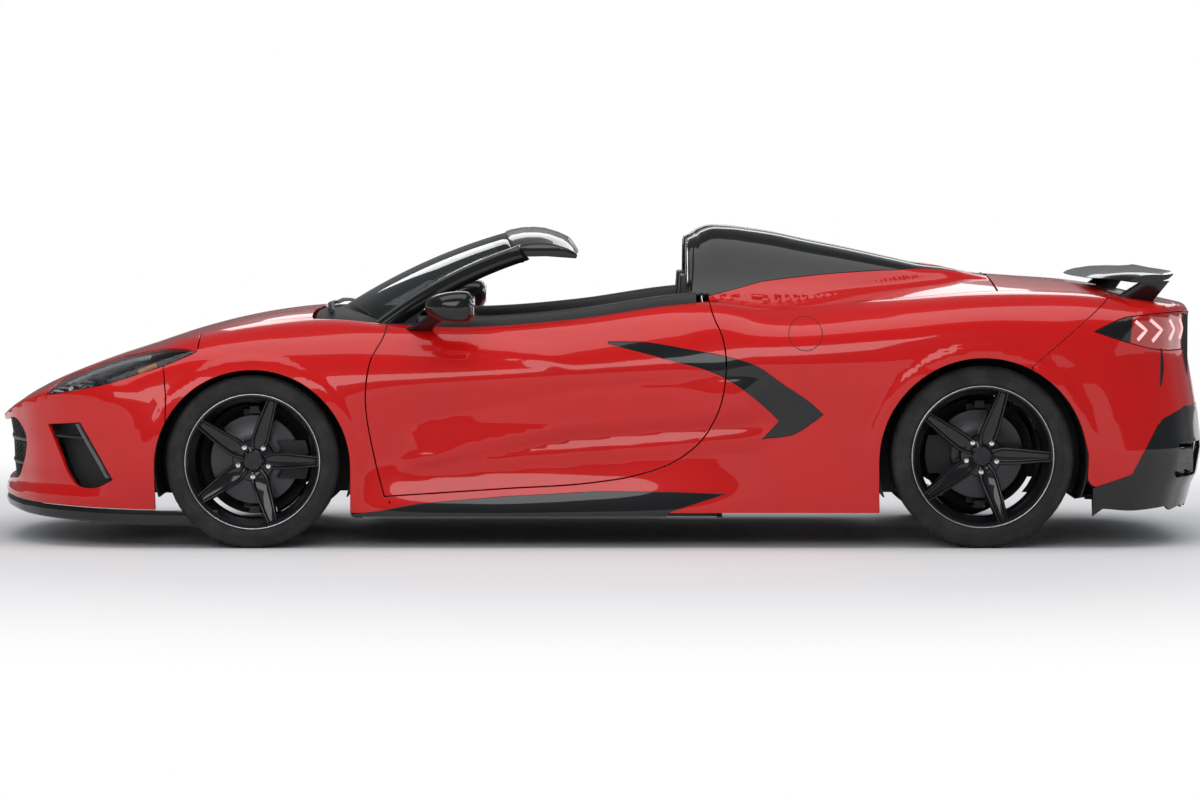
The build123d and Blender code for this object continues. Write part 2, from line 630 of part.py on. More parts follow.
engine_gap = box(560, 1460, -560, 560, 500, 1000)
luggage_rear = (rear_gutter + rear_box) - rear_hollow - engine_gap
luggage_front = luggage_front - service_gap
lid_pin = rod((DECK_HINGE_X, 60, DECK_HINGE_Z), (DECK_HINGE_X, 120, DECK_HINGE_Z), LID_PIN_R)
lid_pin = lid_pin + box(DECK_HINGE_X - 2, DECK_HINGE_X + 2, 60, 120, DECK_HINGE_Z - 50, DECK_HINGE_Z)
luggage_rear = luggage_rear + lid_pin + flip(lid_pin)
luggage = [luggage_front, luggage_rear]
neighbours = [nose_skin, bumper, grilles[0], windshield[0], cowl, frame] + both(front_liner) + both(rear_liner)
for fixed in neighbours:
    luggage = [part - fixed for part in luggage]
save("luggage_tubs", luggage)

# Engine and gearbox as plain blocks on the rear rails
engine = box(560, 1160, -330, 330, 190, 690) + box(1160, 1560, -190, 190, 220, 500)
engine = engine + box(680, 760, -400, 400, 250, 320) + box(1040, 1120, -400, 400, 250, 320)
save("engine", engine)

# Exhaust outlets, two each side
INNER_TIP = ((560, 268), (660, 268), (672, 372), (560, 372))
OUTER_TIP = ((676, 268), (760, 268), (788, 372), (688, 372))
TIP_WALL = 6
tips = box(1900, 2034, 470, 760, 280, 330)
tips_room = front_prism(INNER_TIP, 2030, 2400) + front_prism(OUTER_TIP, 2030, 2400)
for outline, end in ((INNER_TIP, 2238), (OUTER_TIP, 2192)):
    tips = tips + (front_prism(outline, 2030, end) - front_prism(grow(outline, -TIP_WALL), 2060, 2400))
diffuser = diffuser - tips_room - flip(tips_room)
save("rear_diffuser", diffuser)
save("exhaust_tips", both(tips - diffuser))


# Seats
def seat(y):
    centre = side_prism((
        (-330, 250), (-345, 318), (-325, 345), (110, 318), (150, 345), (232, 700), (262, 985), (282, 1005),
        (330, 1005), (338, 975), (312, 640), (250, 300), (200, 250)), y - 175, y + 175)
    wings = []
    for y0, y1 in ((y - 250, y - 175), (y + 175, y + 250)):
        wings.append(side_prism((
            (-300, 250), (-310, 360), (-270, 392), (60, 400), (120, 470), (178, 700), (225, 760), (250, 800),
            (330, 790), (312, 640), (250, 300), (200, 250)), y0, y1))
    base = box(-280, 160, y - 190, y + 190, 140, 250)
    return centre + wings[0] + wings[1] + base


seats = [seat(-SEAT_Y), seat(SEAT_Y)]
save("seats", seats)

# Dashboard with the centre console and the steering column's shroud
dash_profile = (
    (-895, 540), (-895, 800), (-800, 812), (-640, 806), (-570, 780), (-556, 745), (-590, 690), (-640, 540))
dash = side_prism(dash_profile, -712, 712)
dash = dash + side_prism(((-660, 760), (-660, 834), (-590, 846), (-545, 838), (-552, 760)), -520, -220)
console = box(-720, 330, -112, 112, 300, 330) + box(-720, 330, -90, 90, 330, 440)
console = console + side_prism(((-640, 440), (-640, 640), (-575, 720), (-470, 520), (-330, 440)), -90, 90)
COLUMN_FROM = Vector(-640, -370, 640)
COLUMN_TO = Vector(-470, -370, 706)
WHEEL_CENTRE = Vector(-440, -370, 717.65)
column_axis = (COLUMN_TO - COLUMN_FROM).normalized()
shroud = rod(COLUMN_FROM, COLUMN_TO, 38) - rod(COLUMN_FROM, COLUMN_TO + column_axis * 10, 20.5)
dash = dash - rod(COLUMN_FROM, COLUMN_TO + column_axis * 200, 20.5)
dash = (dash + shroud) + console
dash = dash - tub - cowl - windshield[0] - frame - luggage_front
save("dashboard", dash)

wheel_plane = Plane(origin=WHEEL_CENTRE, x_dir=(0, 1, 0), z_dir=column_axis)
GRIP_R = 178
GRIP_THICK_R = 15
grip_turns = [math.pi / 4 * (k + 0.5) for k in range(8)]
grip_profile = [(GRIP_THICK_R * math.sin(t), GRIP_R + GRIP_THICK_R * math.cos(t)) for t in grip_turns]
grip = wheel_plane.location * flat_turn(grip_profile, ROUND_SIDES // 2)
shaft = rod(COLUMN_FROM + column_axis * 20, WHEEL_CENTRE, 20)
hub_profile = ((-24, 0.5), (-24, 52), (16, 52), (16, 0.5))
hub = wheel_plane.location * flat_turn(hub_profile, ROUND_SIDES // 3)


def wheel_bar(angle, half_width):
    plane = Plane(origin=WHEEL_CENTRE - column_axis * 8, x_dir=(0, 1, 0), z_dir=column_axis)
    bar = Solid.make_box(175, 2 * half_width, 14, Plane((0, -half_width, 0)))
    return plane.location * Rot(0, 0, angle) * bar


steering_wheel = grip + hub + shaft + wheel_bar(0, 22) + wheel_bar(180, 22) + wheel_bar(270, 26)
save("steering_wheel", steering_wheel)


# Running gear, built for the right side and mirrored
def rim(x, z, y, bead_r, width):
    w = width / 2
    barrel = turned_y(x, z, [(y + a, r) for a, r in (
        (-w, bead_r + RIM_FLANGE), (-w + 7, bead_r + RIM_FLANGE), (-w + 9, bead_r), (-w + 60, bead_r - 14),
        (w - 45, bead_r - 14), (w - 9, bead_r), (w - 7, bead_r + RIM_FLANGE), (w, bead_r + RIM_FLANGE),
        (w, bead_r + 2), (w - 40, bead_r - 21), (-w + 56, bead_r - 21), (-w, bead_r + 3))])
    inboard = DISC_SEAT[y]
    wheel = barrel + wheel_disc(x, z, 78, inboard, y + w - 26)
    wheel = wheel + wheel_disc(x, z, DISC_R, inboard - DISC_THICK, inboard)
    for k in range(LUG_COUNT):
        turn = math.radians(360 / LUG_COUNT * k)
        for t0, t1, d0, d1 in ((-34, 34, 52, 30), (-40, -22, 32, 14), (22, 40, 32, 14)):
            corners = ((58, t0 * 0.85), (bead_r - 14, t0), (bead_r - 14, t1), (58, t1 * 0.85))
            points = []
            for r, t in corners:
                px = x + r * math.cos(turn) - t * math.sin(turn)
                pz = z + r * math.sin(turn) + t * math.cos(turn)
                points.append((px, y + w - d0, pz))
            wheel = wheel + prism(points, (0, d0 - d1, 0))
    for k in range(LUG_COUNT):
        turn = math.radians(360 / LUG_COUNT * (k + 0.7))
        px = x + LUG_PCD / 2 * math.cos(turn)
        pz = z + LUG_PCD / 2 * math.sin(turn)
        wheel = wheel - disc_y(px, pz, LUG_HOLE_R, y + w - 60, y + w)
    return wheel - disc_y(x, z, HUB_BORE_R, y - 300, y + w - 34)


def tyre(x, z, y, bead_r, rim_width, tyre_r, width):
    w = rim_width / 2
    s = width / 2
    half = (
        (w - 9, bead_r), (w - 7, bead_r + RIM_FLANGE), (s, bead_r + 40), (s - 10, tyre_r - 10), (s - 36, tyre_r))
    core = ((s - 24, tyre_r - 18), (w - 20, bead_r + 2))
    points = [(y - a, r) for a, r in half] + [(y + a, r) for a, r in reversed(half)]
    points += [(y + a, r) for a, r in reversed(core)] + [(y - a, r) for a, r in core]
    return turned_y(x, z, points)


DISC_SEAT = {FRONT_Y: 774, REAR_Y: 724}
front_rim = rim(FRONT_AXLE_X, FRONT_TYRE_R, FRONT_Y, FRONT_RIM_R, FRONT_RIM_W)
rear_rim = rim(REAR_AXLE_X, REAR_TYRE_R, REAR_Y, REAR_RIM_R, REAR_RIM_W)
front_tyre = tyre(FRONT_AXLE_X, FRONT_TYRE_R, FRONT_Y, FRONT_RIM_R, FRONT_RIM_W, FRONT_TYRE_R, FRONT_TYRE_W)
rear_tyre = tyre(REAR_AXLE_X, REAR_TYRE_R, REAR_Y, REAR_RIM_R, REAR_RIM_W, REAR_TYRE_R, REAR_TYRE_W)
for side, turn in (("right", lambda s: s), ("left", flip)):
    save("rim_front_" + side, turn(front_rim))
    save("rim_rear_" + side, turn(rear_rim))
    save("tyre_front_" + side, turn(front_tyre))
    save("tyre_rear_" + side, turn(rear_tyre))


def carrier(x, z, disc_seat, reach_y, ball_y, lug_top, caliper_turn):
    # Upright inboard of the disc with its stub axle, caliper and two lugs over the disc's edge
    back = disc_seat - DISC_THICK
    upright = box(x - 45, x + 45, back - 44, back - 8, z - lug_top, z + lug_top)
    stub = disc_y(x, z, AXLE_R, back - 20, reach_y)
    lugs = box(x - 20, x + 20, back - 44, ball_y + 16, z + 175, z + lug_top)
    lugs = lugs + box(x - 20, x + 20, back - 44, ball_y + 16, z - lug_top, z - 175)
    ring = disc_y(x, z, 204, back - 30, back + DISC_THICK + 26) - disc_y(x, z, 112, back - 31, back + DISC_THICK + 27)
    wedge = box(0, 210, back - 40, back + 80, -72, 72)
    wedge = Pos(x, 0, z) * Rot(0, caliper_turn, 0) * wedge
    caliper = (ring & wedge) - disc_y(x, z, DISC_R + 4, back - 5, back + DISC_THICK + 5)
    bracket = Pos(x, 0, z) * Rot(0, caliper_turn, 0) * box(30, 130, back - 30, back - 10, -40, 40)
    return upright + stub + lugs + caliper + bracket


front_carrier = carrier(FRONT_AXLE_X, FRONT_TYRE_R, DISC_SEAT[FRONT_Y], FRONT_Y + 62, STEER_AXIS_Y, BALL_RISE - 0.5, 0)
for s in (1, -1):
    ball_bore = Solid.make_cylinder(8.3, 60, Plane((FRONT_AXLE_X, STEER_AXIS_Y, FRONT_TYRE_R + s * 180 - 30)))
    front_carrier = front_carrier - ball_bore
steer_arm = box(FRONT_AXLE_X - 130, FRONT_AXLE_X - 40, 706, 724, FRONT_TYRE_R - 70, FRONT_TYRE_R - 40)
front_carrier = front_carrier + steer_arm
save("knuckle_right", front_carrier)
save("knuckle_left", flip(front_carrier))
rear_carrier = carrier(REAR_AXLE_X, REAR_TYRE_R, DISC_SEAT[REAR_Y], REAR_Y + 94, 740, BALL_RISE, 180)


def wishbone(x, z, y_in, y_out, spread, thick):
    outline = [(x - 17, y_out), (x + 17, y_out), (x + spread + 18, y_in), (x + spread - 18, y_in), (x, y_out - 90),
               (x - spread + 18, y_in), (x - spread - 18, y_in)]
    return plan_prism(outline, z, z + thick)


front_arms = []
rear_arms = []
for s in (1, -1):
    z_front = FRONT_TYRE_R + (BALL_RISE if s > 0 else -BALL_RISE - 15)
    z_rear = REAR_TYRE_R + (BALL_RISE if s > 0 else -BALL_RISE - 15)
    pin = Solid.make_cylinder(8, 30, Plane((FRONT_AXLE_X, STEER_AXIS_Y, FRONT_TYRE_R + s * 188 - 15)))
    front_arms.append(wishbone(FRONT_AXLE_X, z_front, 480, STEER_AXIS_Y + 16, 52, 15) + pin)
    rear_arms.append(wishbone(REAR_AXLE_X, z_rear, 480, 756, 52, 15))
rear_shaft = rod((REAR_AXLE_X, 190, REAR_TYRE_R), (REAR_AXLE_X, 660, REAR_TYRE_R), 20)
rear_set = rear_carrier + rear_arms[0] + rear_arms[1] + rear_shaft
front_set = [arm - tub for arm in front_arms]
for hole in both(rod((REAR_AXLE_X, 150, REAR_TYRE_R), (REAR_AXLE_X, 700, REAR_TYRE_R), 30)):
    tub = tub - hole
rear_set = rear_set - tub - engine
save("front_arms", both(front_set[0]) + both(front_set[1]))
save("rear_suspension", both(rear_set))

others = front_set + [flip(a) for a in front_set] + [rear_set, flip(rear_set)]
carve = others + luggage + liners + [engine] + grilles + [nose_skin, bumper, tips, flip(tips), diffuser]
carve = carve + both(skirt) + [splitter]
for piece in carve:
    tub = tub - piece
save("body_tub", tub)
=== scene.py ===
"""Open two-seat sports car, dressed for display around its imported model."""
import json
import math

import bmesh
import bpy
import numpy as np
from bpy.props import FloatProperty, FloatVectorProperty, PointerProperty
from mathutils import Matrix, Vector
from mathutils.geometry import delaunay_2d_cdt

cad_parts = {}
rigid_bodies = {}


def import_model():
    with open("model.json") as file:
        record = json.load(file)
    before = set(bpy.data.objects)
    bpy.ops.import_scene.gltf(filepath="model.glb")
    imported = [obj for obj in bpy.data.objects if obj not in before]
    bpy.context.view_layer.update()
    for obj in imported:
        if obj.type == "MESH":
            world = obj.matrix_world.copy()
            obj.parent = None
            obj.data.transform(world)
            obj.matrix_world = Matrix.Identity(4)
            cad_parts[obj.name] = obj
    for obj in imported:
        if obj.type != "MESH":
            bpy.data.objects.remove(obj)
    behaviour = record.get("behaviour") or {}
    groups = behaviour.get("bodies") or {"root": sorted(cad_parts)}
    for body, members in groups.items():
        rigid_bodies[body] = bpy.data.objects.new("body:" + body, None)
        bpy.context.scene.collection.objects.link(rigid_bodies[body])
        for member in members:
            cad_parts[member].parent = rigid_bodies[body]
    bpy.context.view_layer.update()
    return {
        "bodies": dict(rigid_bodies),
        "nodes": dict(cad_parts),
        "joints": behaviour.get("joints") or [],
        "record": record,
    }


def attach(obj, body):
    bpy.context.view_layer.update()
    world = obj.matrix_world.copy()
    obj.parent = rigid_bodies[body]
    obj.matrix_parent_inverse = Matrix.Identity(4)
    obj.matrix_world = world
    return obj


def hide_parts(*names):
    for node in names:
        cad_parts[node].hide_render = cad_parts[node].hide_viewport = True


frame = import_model()

bl_info = {
    "name": "Open Two-Seat Sports Car",
    "version": (1, 0, 0),
    "blender": (4, 5, 0),
    "location": "3D View > Sidebar > Roadster",
    "description": "Builds the bodywork, wheels, lamps, glass and cabin of an open two-seat car",
    "category": "Object",
}

MM = 0.001
SIDES = ((-1, "left"), (1, "right"))

# body form
# Half sections: x, then y and z of hem, flank, belly, shoulder crease, belt,
# crown and inner top, and last the height on the centre line, all in mm.
BODY = (
    (-2315, (905, 132), (925, 250), (925, 330), (900, 400), (860, 425), (760, 440), (560, 452), 458),
    (-2229, (905, 132), (930, 260), (930, 380), (905, 455), (865, 485), (765, 503), (560, 522), 531),
    (-2135, (905, 132), (935, 260), (935, 420), (910, 510), (870, 542), (770, 560), (560, 580), 589),
    (-2041, (905, 132), (938, 260), (938, 450), (915, 545), (875, 580), (775, 598), (565, 622), 631),
    (-1947, (905, 132), (940, 260), (942, 460), (920, 570), (880, 610), (780, 635), (570, 659), 668),
    (-1760, (908, 132), (944, 270), (948, 480), (928, 605), (885, 665), (785, 699), (585, 721), 730),
    (-1572, (912, 132), (948, 290), (954, 480), (935, 617), (890, 715), (790, 764), (600, 783), 792),
    (-1303, (915, 132), (950, 300), (958, 480), (943, 618), (895, 748), (795, 810), (620, 840), 853),
    (-1131, (915, 132), (945, 300), (955, 480), (940, 618), (890, 752), (800, 816), (650, 856), 872),
    (-945, (920, 132), (925, 300), (935, 480), (930, 620), (880, 757), (810, 816), (700, 850), 884),
    (-810, (925, 132), (905, 300), (915, 480), (922, 626), (870, 758), (820, 808), (740, 832), 880),
    (-500, (930, 132), (895, 300), (900, 470), (922, 645), (860, 770), (815, 812), (745, 822), 830),
    (-100, (930, 132), (900, 300), (898, 470), (925, 670), (855, 800), (800, 846), (740, 852), 855),
    (300, (930, 132), (912, 300), (905, 470), (930, 690), (860, 850), (785, 902), (720, 910), 915),
    (461, (930, 132), (925, 300), (925, 470), (945, 700), (880, 852), (795, 905), (700, 922), 945),
    (614, (932, 132), (935, 300), (940, 470), (955, 700), (905, 825), (800, 880), (720, 905), 985),
    (1045, (938, 132), (950, 300), (958, 470), (967, 700), (925, 840), (810, 908), (720, 928), 1005),
    (1420, (938, 140), (952, 300), (962, 480), (966, 700), (930, 870), (820, 937), (720, 954), 1010),
    (1640, (936, 150), (952, 300), (962, 480), (962, 700), (925, 870), (820, 940), (720, 955), 996),
    (1801, (930, 170), (950, 320), (958, 480), (955, 700), (918, 868), (815, 936), (700, 950), 984),
    (1950, (920, 180), (945, 330), (950, 480), (945, 700), (905, 860), (800, 922), (680, 936), 962),
    (2100, (905, 190), (935, 340), (938, 480), (930, 700), (890, 852), (780, 905), (660, 915), 930),
    (2200, (890, 200), (925, 340), (928, 480), (915, 690), (875, 842), (770, 888), (650, 898), 909),
    (2315, (880, 210), (910, 340), (915, 450), (900, 640), (860, 800), (760, 850), (640, 865), 880),
)
NOSE_PLAN = (
    (-2315, 0), (-2306, 260), (-2270, 470), (-2200, 640), (-2100, 775), (-1980, 865), (-1840, 925),
    (-1700, 980),
)
TAIL_PLAN = (
    (2315, 0), (2306, 300), (2275, 540), (2215, 720), (2130, 840), (2020, 915), (1900, 960), (1780, 1000),
)
# Height and setback of the nose and of the tail behind their plan
NOSE_PROFILE = ((60, 80), (129, 60), (164, 22), (186, 6), (215, 16), (300, 14), (400, 8), (450, 0), (2000, 0))
TAIL_PROFILE = (
    (60, 90), (160, 55), (218, 40), (260, 18), (363, 0), (390, 4), (479, 14), (713, 55), (850, 52), (870, 50),
    (900, 70), (925, 120), (2000, 900),
)
AXIS_Z = 400.0
TABLE_STEP_X = 10.0
TABLE_STEP_A = math.radians(0.5)
TABLE_X0, TABLE_X1 = -2400.0, 2400.0
TABLE_A0, TABLE_A1 = math.radians(-28), math.radians(90)


def hermite(knots, values, at):
    """Smooth curve through knots, its slopes taken from the neighbours."""
    knots = np.asarray(knots, float)
    values = np.asarray(values, float)
    steps = np.diff(knots)
    slopes = np.diff(values) / steps
    middle = (slopes[:-1] * steps[1:] + slopes[1:] * steps[:-1]) / (steps[:-1] + steps[1:])
    tangents = np.concatenate(([slopes[0]], middle, [slopes[-1]]))
    at = np.clip(at, knots[0], knots[-1])
    k = np.clip(np.searchsorted(knots, at, side="right") - 1, 0, len(knots) - 2)
    h = steps[k]
    t = (at - knots[k]) / h
    return (
        (2 * t**3 - 3 * t**2 + 1) * values[k] + (t**3 - 2 * t**2 + t) * h * tangents[k]
        + (-2 * t**3 + 3 * t**2) * values[k + 1] + (t**3 - t**2) * h * tangents[k + 1]
    )


def blur(table, sigma, axis):
    """Gaussian smoothing of a table along one axis, its ends held."""
    reach = max(int(3 * sigma), 1)
    weights = np.exp(-0.5 * (np.arange(-reach, reach + 1) / sigma) ** 2)
    weights /= weights.sum()
    pad = [(0, 0), (0, 0)]
    pad[axis] = (reach, reach)
    wide = np.pad(table, pad, mode="edge")
    out = np.zeros_like(table)
    for i, weight in enumerate(weights):
        part = [slice(None), slice(None)]
        part[axis] = slice(i, i + table.shape[axis])
        out += weight * wide[tuple(part)]
    return out


def ridge(x, z, line, height, above, below):
    """Raised crease that follows a line in the side view and fades to both sides."""
    xs = np.array([p[0] for p in line], float)
    zs = np.array([p[1] for p in line], float)
    crest = np.interp(x, xs, zs)
    off = z - crest
    shape = np.where(off > 0, 1 - off / above, 1 + off / below)
    shape = np.clip(shape, 0, 1)
    shape = shape * (1.6 - 0.6 * shape)
    fade = np.clip((x - xs[0]) / 160, 0, 1) * np.clip((xs[-1] - x) / 160, 0, 1)
    fade = fade * fade * (3 - 2 * fade)
    return height * shape * fade


SHOULDER_LINE = ((-1560, 616), (-974, 618), (-751, 629), (-379, 652), (212, 695), (420, 712))
CATCHER_LINE = ((-790, 322), (-736, 332), (-98, 462), (511, 511), (640, 512))
CATCHER_FOOT = ((-790, 300), (-576, 321), (588, 415), (660, 430))
UPPER_LINE = ((-760, 792), (-550, 762), (-320, 731), (-78, 689))
CORNER_CREASE = ((-2240, 470), (-2060, 512), (-1900, 540), (-1700, 556))
HAUNCH_LINE = ((430, 752), (800, 762), (1000, 770), (1500, 800), (1850, 770))


def side_relief(x, y, z):
    """Creases and hollows pressed into the flank, in mm along Y."""
    side = np.clip((y - 700) / 100, 0, 1)
    relief = ridge(x, z, SHOULDER_LINE, 9, 120, 190)
    relief = relief + ridge(x, z, CATCHER_LINE, 22, 130, 50)
    relief = relief + ridge(x, z, CATCHER_FOOT, 9, 46, 50)
    relief = relief + ridge(x, z, UPPER_LINE, 8, 60, 40)
    relief = relief + ridge(x, z, CORNER_CREASE, 9, 60, 80)
    relief = relief + ridge(x, z, HAUNCH_LINE, 10, 90, 110)
    for centre, radius in (((-1303, 303), 365), ((1420, 324), 388)):
        away = np.hypot(x - centre[0], z - centre[1]) - radius
        relief = relief + 7 * np.clip((56 - away) / 22, 0, 1) * (away > -60)
    return relief * side


def radius_table():
    """Body radius about the long axis by station and by angle, creases included."""
    xs = np.arange(TABLE_X0, TABLE_X1 + 1, TABLE_STEP_X)
    knots = [row[0] for row in BODY]
    rails = []
    for k in range(1, 8):
        rails.append((hermite(knots, [row[k][0] for row in BODY], xs),
                      hermite(knots, [row[k][1] for row in BODY], xs)))
    rails.append((np.zeros_like(xs), hermite(knots, [row[8] for row in BODY], xs)))
    angles = np.arange(TABLE_A0, TABLE_A1 + 1e-6, TABLE_STEP_A)
    table = np.zeros((len(xs), len(angles)))
    share = np.linspace(0, 1, 14, endpoint=False)
    for i in range(len(xs)):
        ys = np.array([rail[0][i] for rail in rails])
        zs = np.array([rail[1][i] for rail in rails])
        ys = np.concatenate(([ys[0] - 10], ys, [-ys[-2]]))
        zs = np.concatenate(([zs[0] - 90], zs, [zs[-2]]))
        reach = np.concatenate(([0], np.cumsum(np.hypot(np.diff(ys), np.diff(zs)) ** 0.7)))
        fine = np.concatenate([reach[k] + share * (reach[k + 1] - reach[k]) for k in range(len(reach) - 1)])
        fine_y = hermite(reach, ys, fine)
        fine_z = hermite(reach, zs, fine)
        fine_a = np.arctan2(fine_z - AXIS_Z, fine_y)
        fine_r = np.hypot(fine_y, fine_z - AXIS_Z)
        keep = fine_a <= math.pi / 2 + 0.02
        order = np.argsort(fine_a[keep])
        table[i] = np.interp(angles, fine_a[keep][order], fine_r[keep][order])
    table = blur(blur(table, 2.6, 0), 2.2, 1)
    grid_y = table * np.cos(angles)
    grid_z = AXIS_Z + table * np.sin(angles)
    table = table + side_relief(xs[:, None] + 0 * grid_z, grid_y, grid_z) * np.cos(angles)
    return blur(table, 0.7, 0)


RADII = radius_table()


def tube(p):
    """Distance outside the body's long surface, in mm."""
    x, y, z = p[..., 0], np.abs(p[..., 1]), p[..., 2] - AXIS_Z
    angle = np.clip(np.arctan2(z, y), TABLE_A0, TABLE_A1 - 1e-6)
    i = np.clip((x - TABLE_X0) / TABLE_STEP_X, 0, RADII.shape[0] - 1.001)
    j = np.clip((angle - TABLE_A0) / TABLE_STEP_A, 0, RADII.shape[1] - 1.001)
    i0, j0 = i.astype(int), j.astype(int)
    fi, fj = i - i0, j - j0
    radius = (
        RADII[i0, j0] * (1 - fi) * (1 - fj) + RADII[i0 + 1, j0] * fi * (1 - fj)
        + RADII[i0, j0 + 1] * (1 - fi) * fj + RADII[i0 + 1, j0 + 1] * fi * fj
    )
    return np.hypot(y, z) - radius


PLAN_Y = np.arange(0, 1400.0, 5.0)


def plan_curve(plan):
    xs = np.array([p[0] for p in plan], float)
    ys = np.array([p[1] for p in plan], float)
    ys = np.concatenate((-ys[:0:-1], ys, [ys[-1] + 200]))
    xs = np.concatenate((xs[:0:-1], xs, [xs[-1] + math.copysign(900, -xs[-1])]))
    return hermite(ys, xs, PLAN_Y)


NOSE_X = plan_curve(NOSE_PLAN)
TAIL_X = plan_curve(TAIL_PLAN)
NOSE_SLOPE = np.hypot(1, np.gradient(NOSE_X, PLAN_Y))
TAIL_SLOPE = np.hypot(1, np.gradient(TAIL_X, PLAN_Y))


def nose_wall(p):
    y = np.abs(p[..., 1])
    setback = hermite([q[0] for q in NOSE_PROFILE], [q[1] for q in NOSE_PROFILE], p[..., 2])
    return (np.interp(y, PLAN_Y, NOSE_X) + setback - p[..., 0]) / np.interp(y, PLAN_Y, NOSE_SLOPE)


def tail_wall(p):
    y = np.abs(p[..., 1])
    setback = np.interp(p[..., 2], [q[0] for q in TAIL_PROFILE], [q[1] for q in TAIL_PROFILE])
    return (p[..., 0] - np.interp(y, PLAN_Y, TAIL_X) + setback) / np.interp(y, PLAN_Y, TAIL_SLOPE)


def soft_max(a, b, r):
    h = np.clip(0.5 + 0.5 * (a - b) / r, 0, 1)
    return b * (1 - h) + a * h + r * h * (1 - h) * 0.5


def body_field(p):
    """Signed distance outside the whole body, its nose and tail rounded in."""
    field = tube(p)
    field = soft_max(field, nose_wall(p), 46.0)
    return soft_max(field, tail_wall(p), 14.0)


def strike(origins, directions, near, far, field=body_field):
    """First point outward on each ray where the field crosses zero."""
    low = np.full(len(origins), float(near))
    high = np.full(len(origins), float(far))
    for _ in range(26):
        mid = 0.5 * (low + high)
        inside = field(origins + directions * mid[:, None]) < 0
        low = np.where(inside, mid, low)
        high = np.where(inside, high, mid)
    return origins + directions * (0.5 * (low + high))[:, None]


def field_normals(points, field=body_field, step=5.0):
    out = np.zeros_like(points)
    for k in range(3):
        shift = np.zeros(3)
        shift[k] = step
        out[:, k] = field(points + shift) - field(points - shift)
    return out / np.linalg.norm(out, axis=1)[:, None]


# mesh helpers
def make_piece(name, verts, faces, materials, body, node=None, normals=None, smooth=True,
               slots=None):
    """Mesh object in metres from points in mm, riding on a body."""
    mesh = bpy.data.meshes.new(name)
    mesh.from_pydata([tuple(v * MM for v in p) for p in verts], [], [tuple(f) for f in faces])
    for material in materials if isinstance(materials, (list, tuple)) else [materials]:
        mesh.materials.append(material)
    if slots is not None:
        mesh.polygons.foreach_set("material_index", np.asarray(slots, dtype=np.int32))
    mesh.polygons.foreach_set("use_smooth", [smooth] * len(mesh.polygons))
    mesh.update()
    if normals is not None:
        mesh.normals_split_custom_set_from_vertices([tuple(n) for n in normals])
    piece = bpy.data.objects.new(name, mesh)
    bpy.context.scene.collection.objects.link(piece)
    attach(piece, body)
    if node:
        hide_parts(*([node] if isinstance(node, str) else node))
    return piece


class Shape:
    """Growing lists of points and faces for one piece."""

    def __init__(self):
        self.verts = []
        self.faces = []
        self.marks = []

    def add(self, verts, faces, mark=0):
        base = len(self.verts)
        self.verts.extend([tuple(v) for v in verts])
        self.faces.extend([tuple(base + i for i in face) for face in faces])
        self.marks.extend([mark] * len(faces))
        return self

    def grid(self, rows, mark=0, close_u=False, close_v=False, flip=False):
        """Quads over rows of points, each row as long as the next."""
        n, m = len(rows), len(rows[0])
        verts = [p for row in rows for p in row]
        faces = []
        for i in range(n if close_u else n - 1):
            for j in range(m if close_v else m - 1):
                a = i * m + j
                b = i * m + (j + 1) % m
                c = ((i + 1) % n) * m + (j + 1) % m
                d = ((i + 1) % n) * m + j
                faces.append((a, d, c, b) if flip else (a, b, c, d))
        return self.add(verts, faces, mark)

    def tube_of(self, rings, mark=0, cap=True, close=False, flip=False):
        """Closed skin over rings of points, its ends capped."""
        base = len(self.verts)
        m = len(rings[0])
        self.grid(rings, mark, close_u=close, close_v=True, flip=flip)
        if cap and not close:
            first = tuple(base + i for i in range(m))
            last = tuple(base + (len(rings) - 1) * m + i for i in range(m))
            self.faces.append(first[::-1] if not flip else first)
            self.faces.append(last if not flip else last[::-1])
            self.marks.extend([mark, mark])
        return self

    def mirrored(self):
        """Both sides: the points so far and their mirror across the middle plane."""
        base = len(self.verts)
        count = len(self.faces)
        self.verts.extend([(x, -y, z) for x, y, z in self.verts[:base]])
        for k in range(count):
            self.faces.append(tuple(base + i for i in reversed(self.faces[k])))
            self.marks.append(self.marks[k])
        return self


def finish_normals(piece, merge=0.00002):
    """Merges doubles and turns every face outward."""
    bm = bmesh.new()
    bm.from_mesh(piece.data)
    bmesh.ops.remove_doubles(bm, verts=bm.verts, dist=merge)
    bmesh.ops.recalc_face_normals(bm, faces=bm.faces)
    bm.to_mesh(piece.data)
    bm.free()
    return piece


def apply_modifiers(piece):
    graph = bpy.context.evaluated_depsgraph_get()
    mesh = bpy.data.meshes.new_from_object(piece.evaluated_get(graph))
    piece.modifiers.clear()
    old = piece.data
    piece.data = mesh
    bpy.data.meshes.remove(old)
    return piece


def modified(piece, label, kind, **settings):
    """The piece with one modifier set up and applied."""
    modifier = piece.modifiers.new(label, kind)
    for key, value in settings.items():
        setattr(modifier, key, value)
    return apply_modifiers(piece)


def bevel(piece, width, segments=2, angle=35):
    return modified(piece, "Edge", "BEVEL", width=width * MM, segments=segments, limit_method="ANGLE",
                    angle_limit=math.radians(angle), harden_normals=False)


def subdivide(piece, levels):
    return modified(piece, "Smooth", "SUBSURF", levels=levels, render_levels=levels)


def shaped_piece(name, shape, finishes, body, node=None, angle=None):
    """Piece of a shape with its faces turned outward; edges over the angle, if one is given, stay sharp."""
    names = finishes.split()
    piece = make_piece(name, shape.verts, shape.faces, [finish_of(one) for one in names], body, node,
                       slots=shape.marks if len(names) > 1 else None)
    finish_normals(piece)
    return piece if angle is None else shade_by_angle(piece, angle)


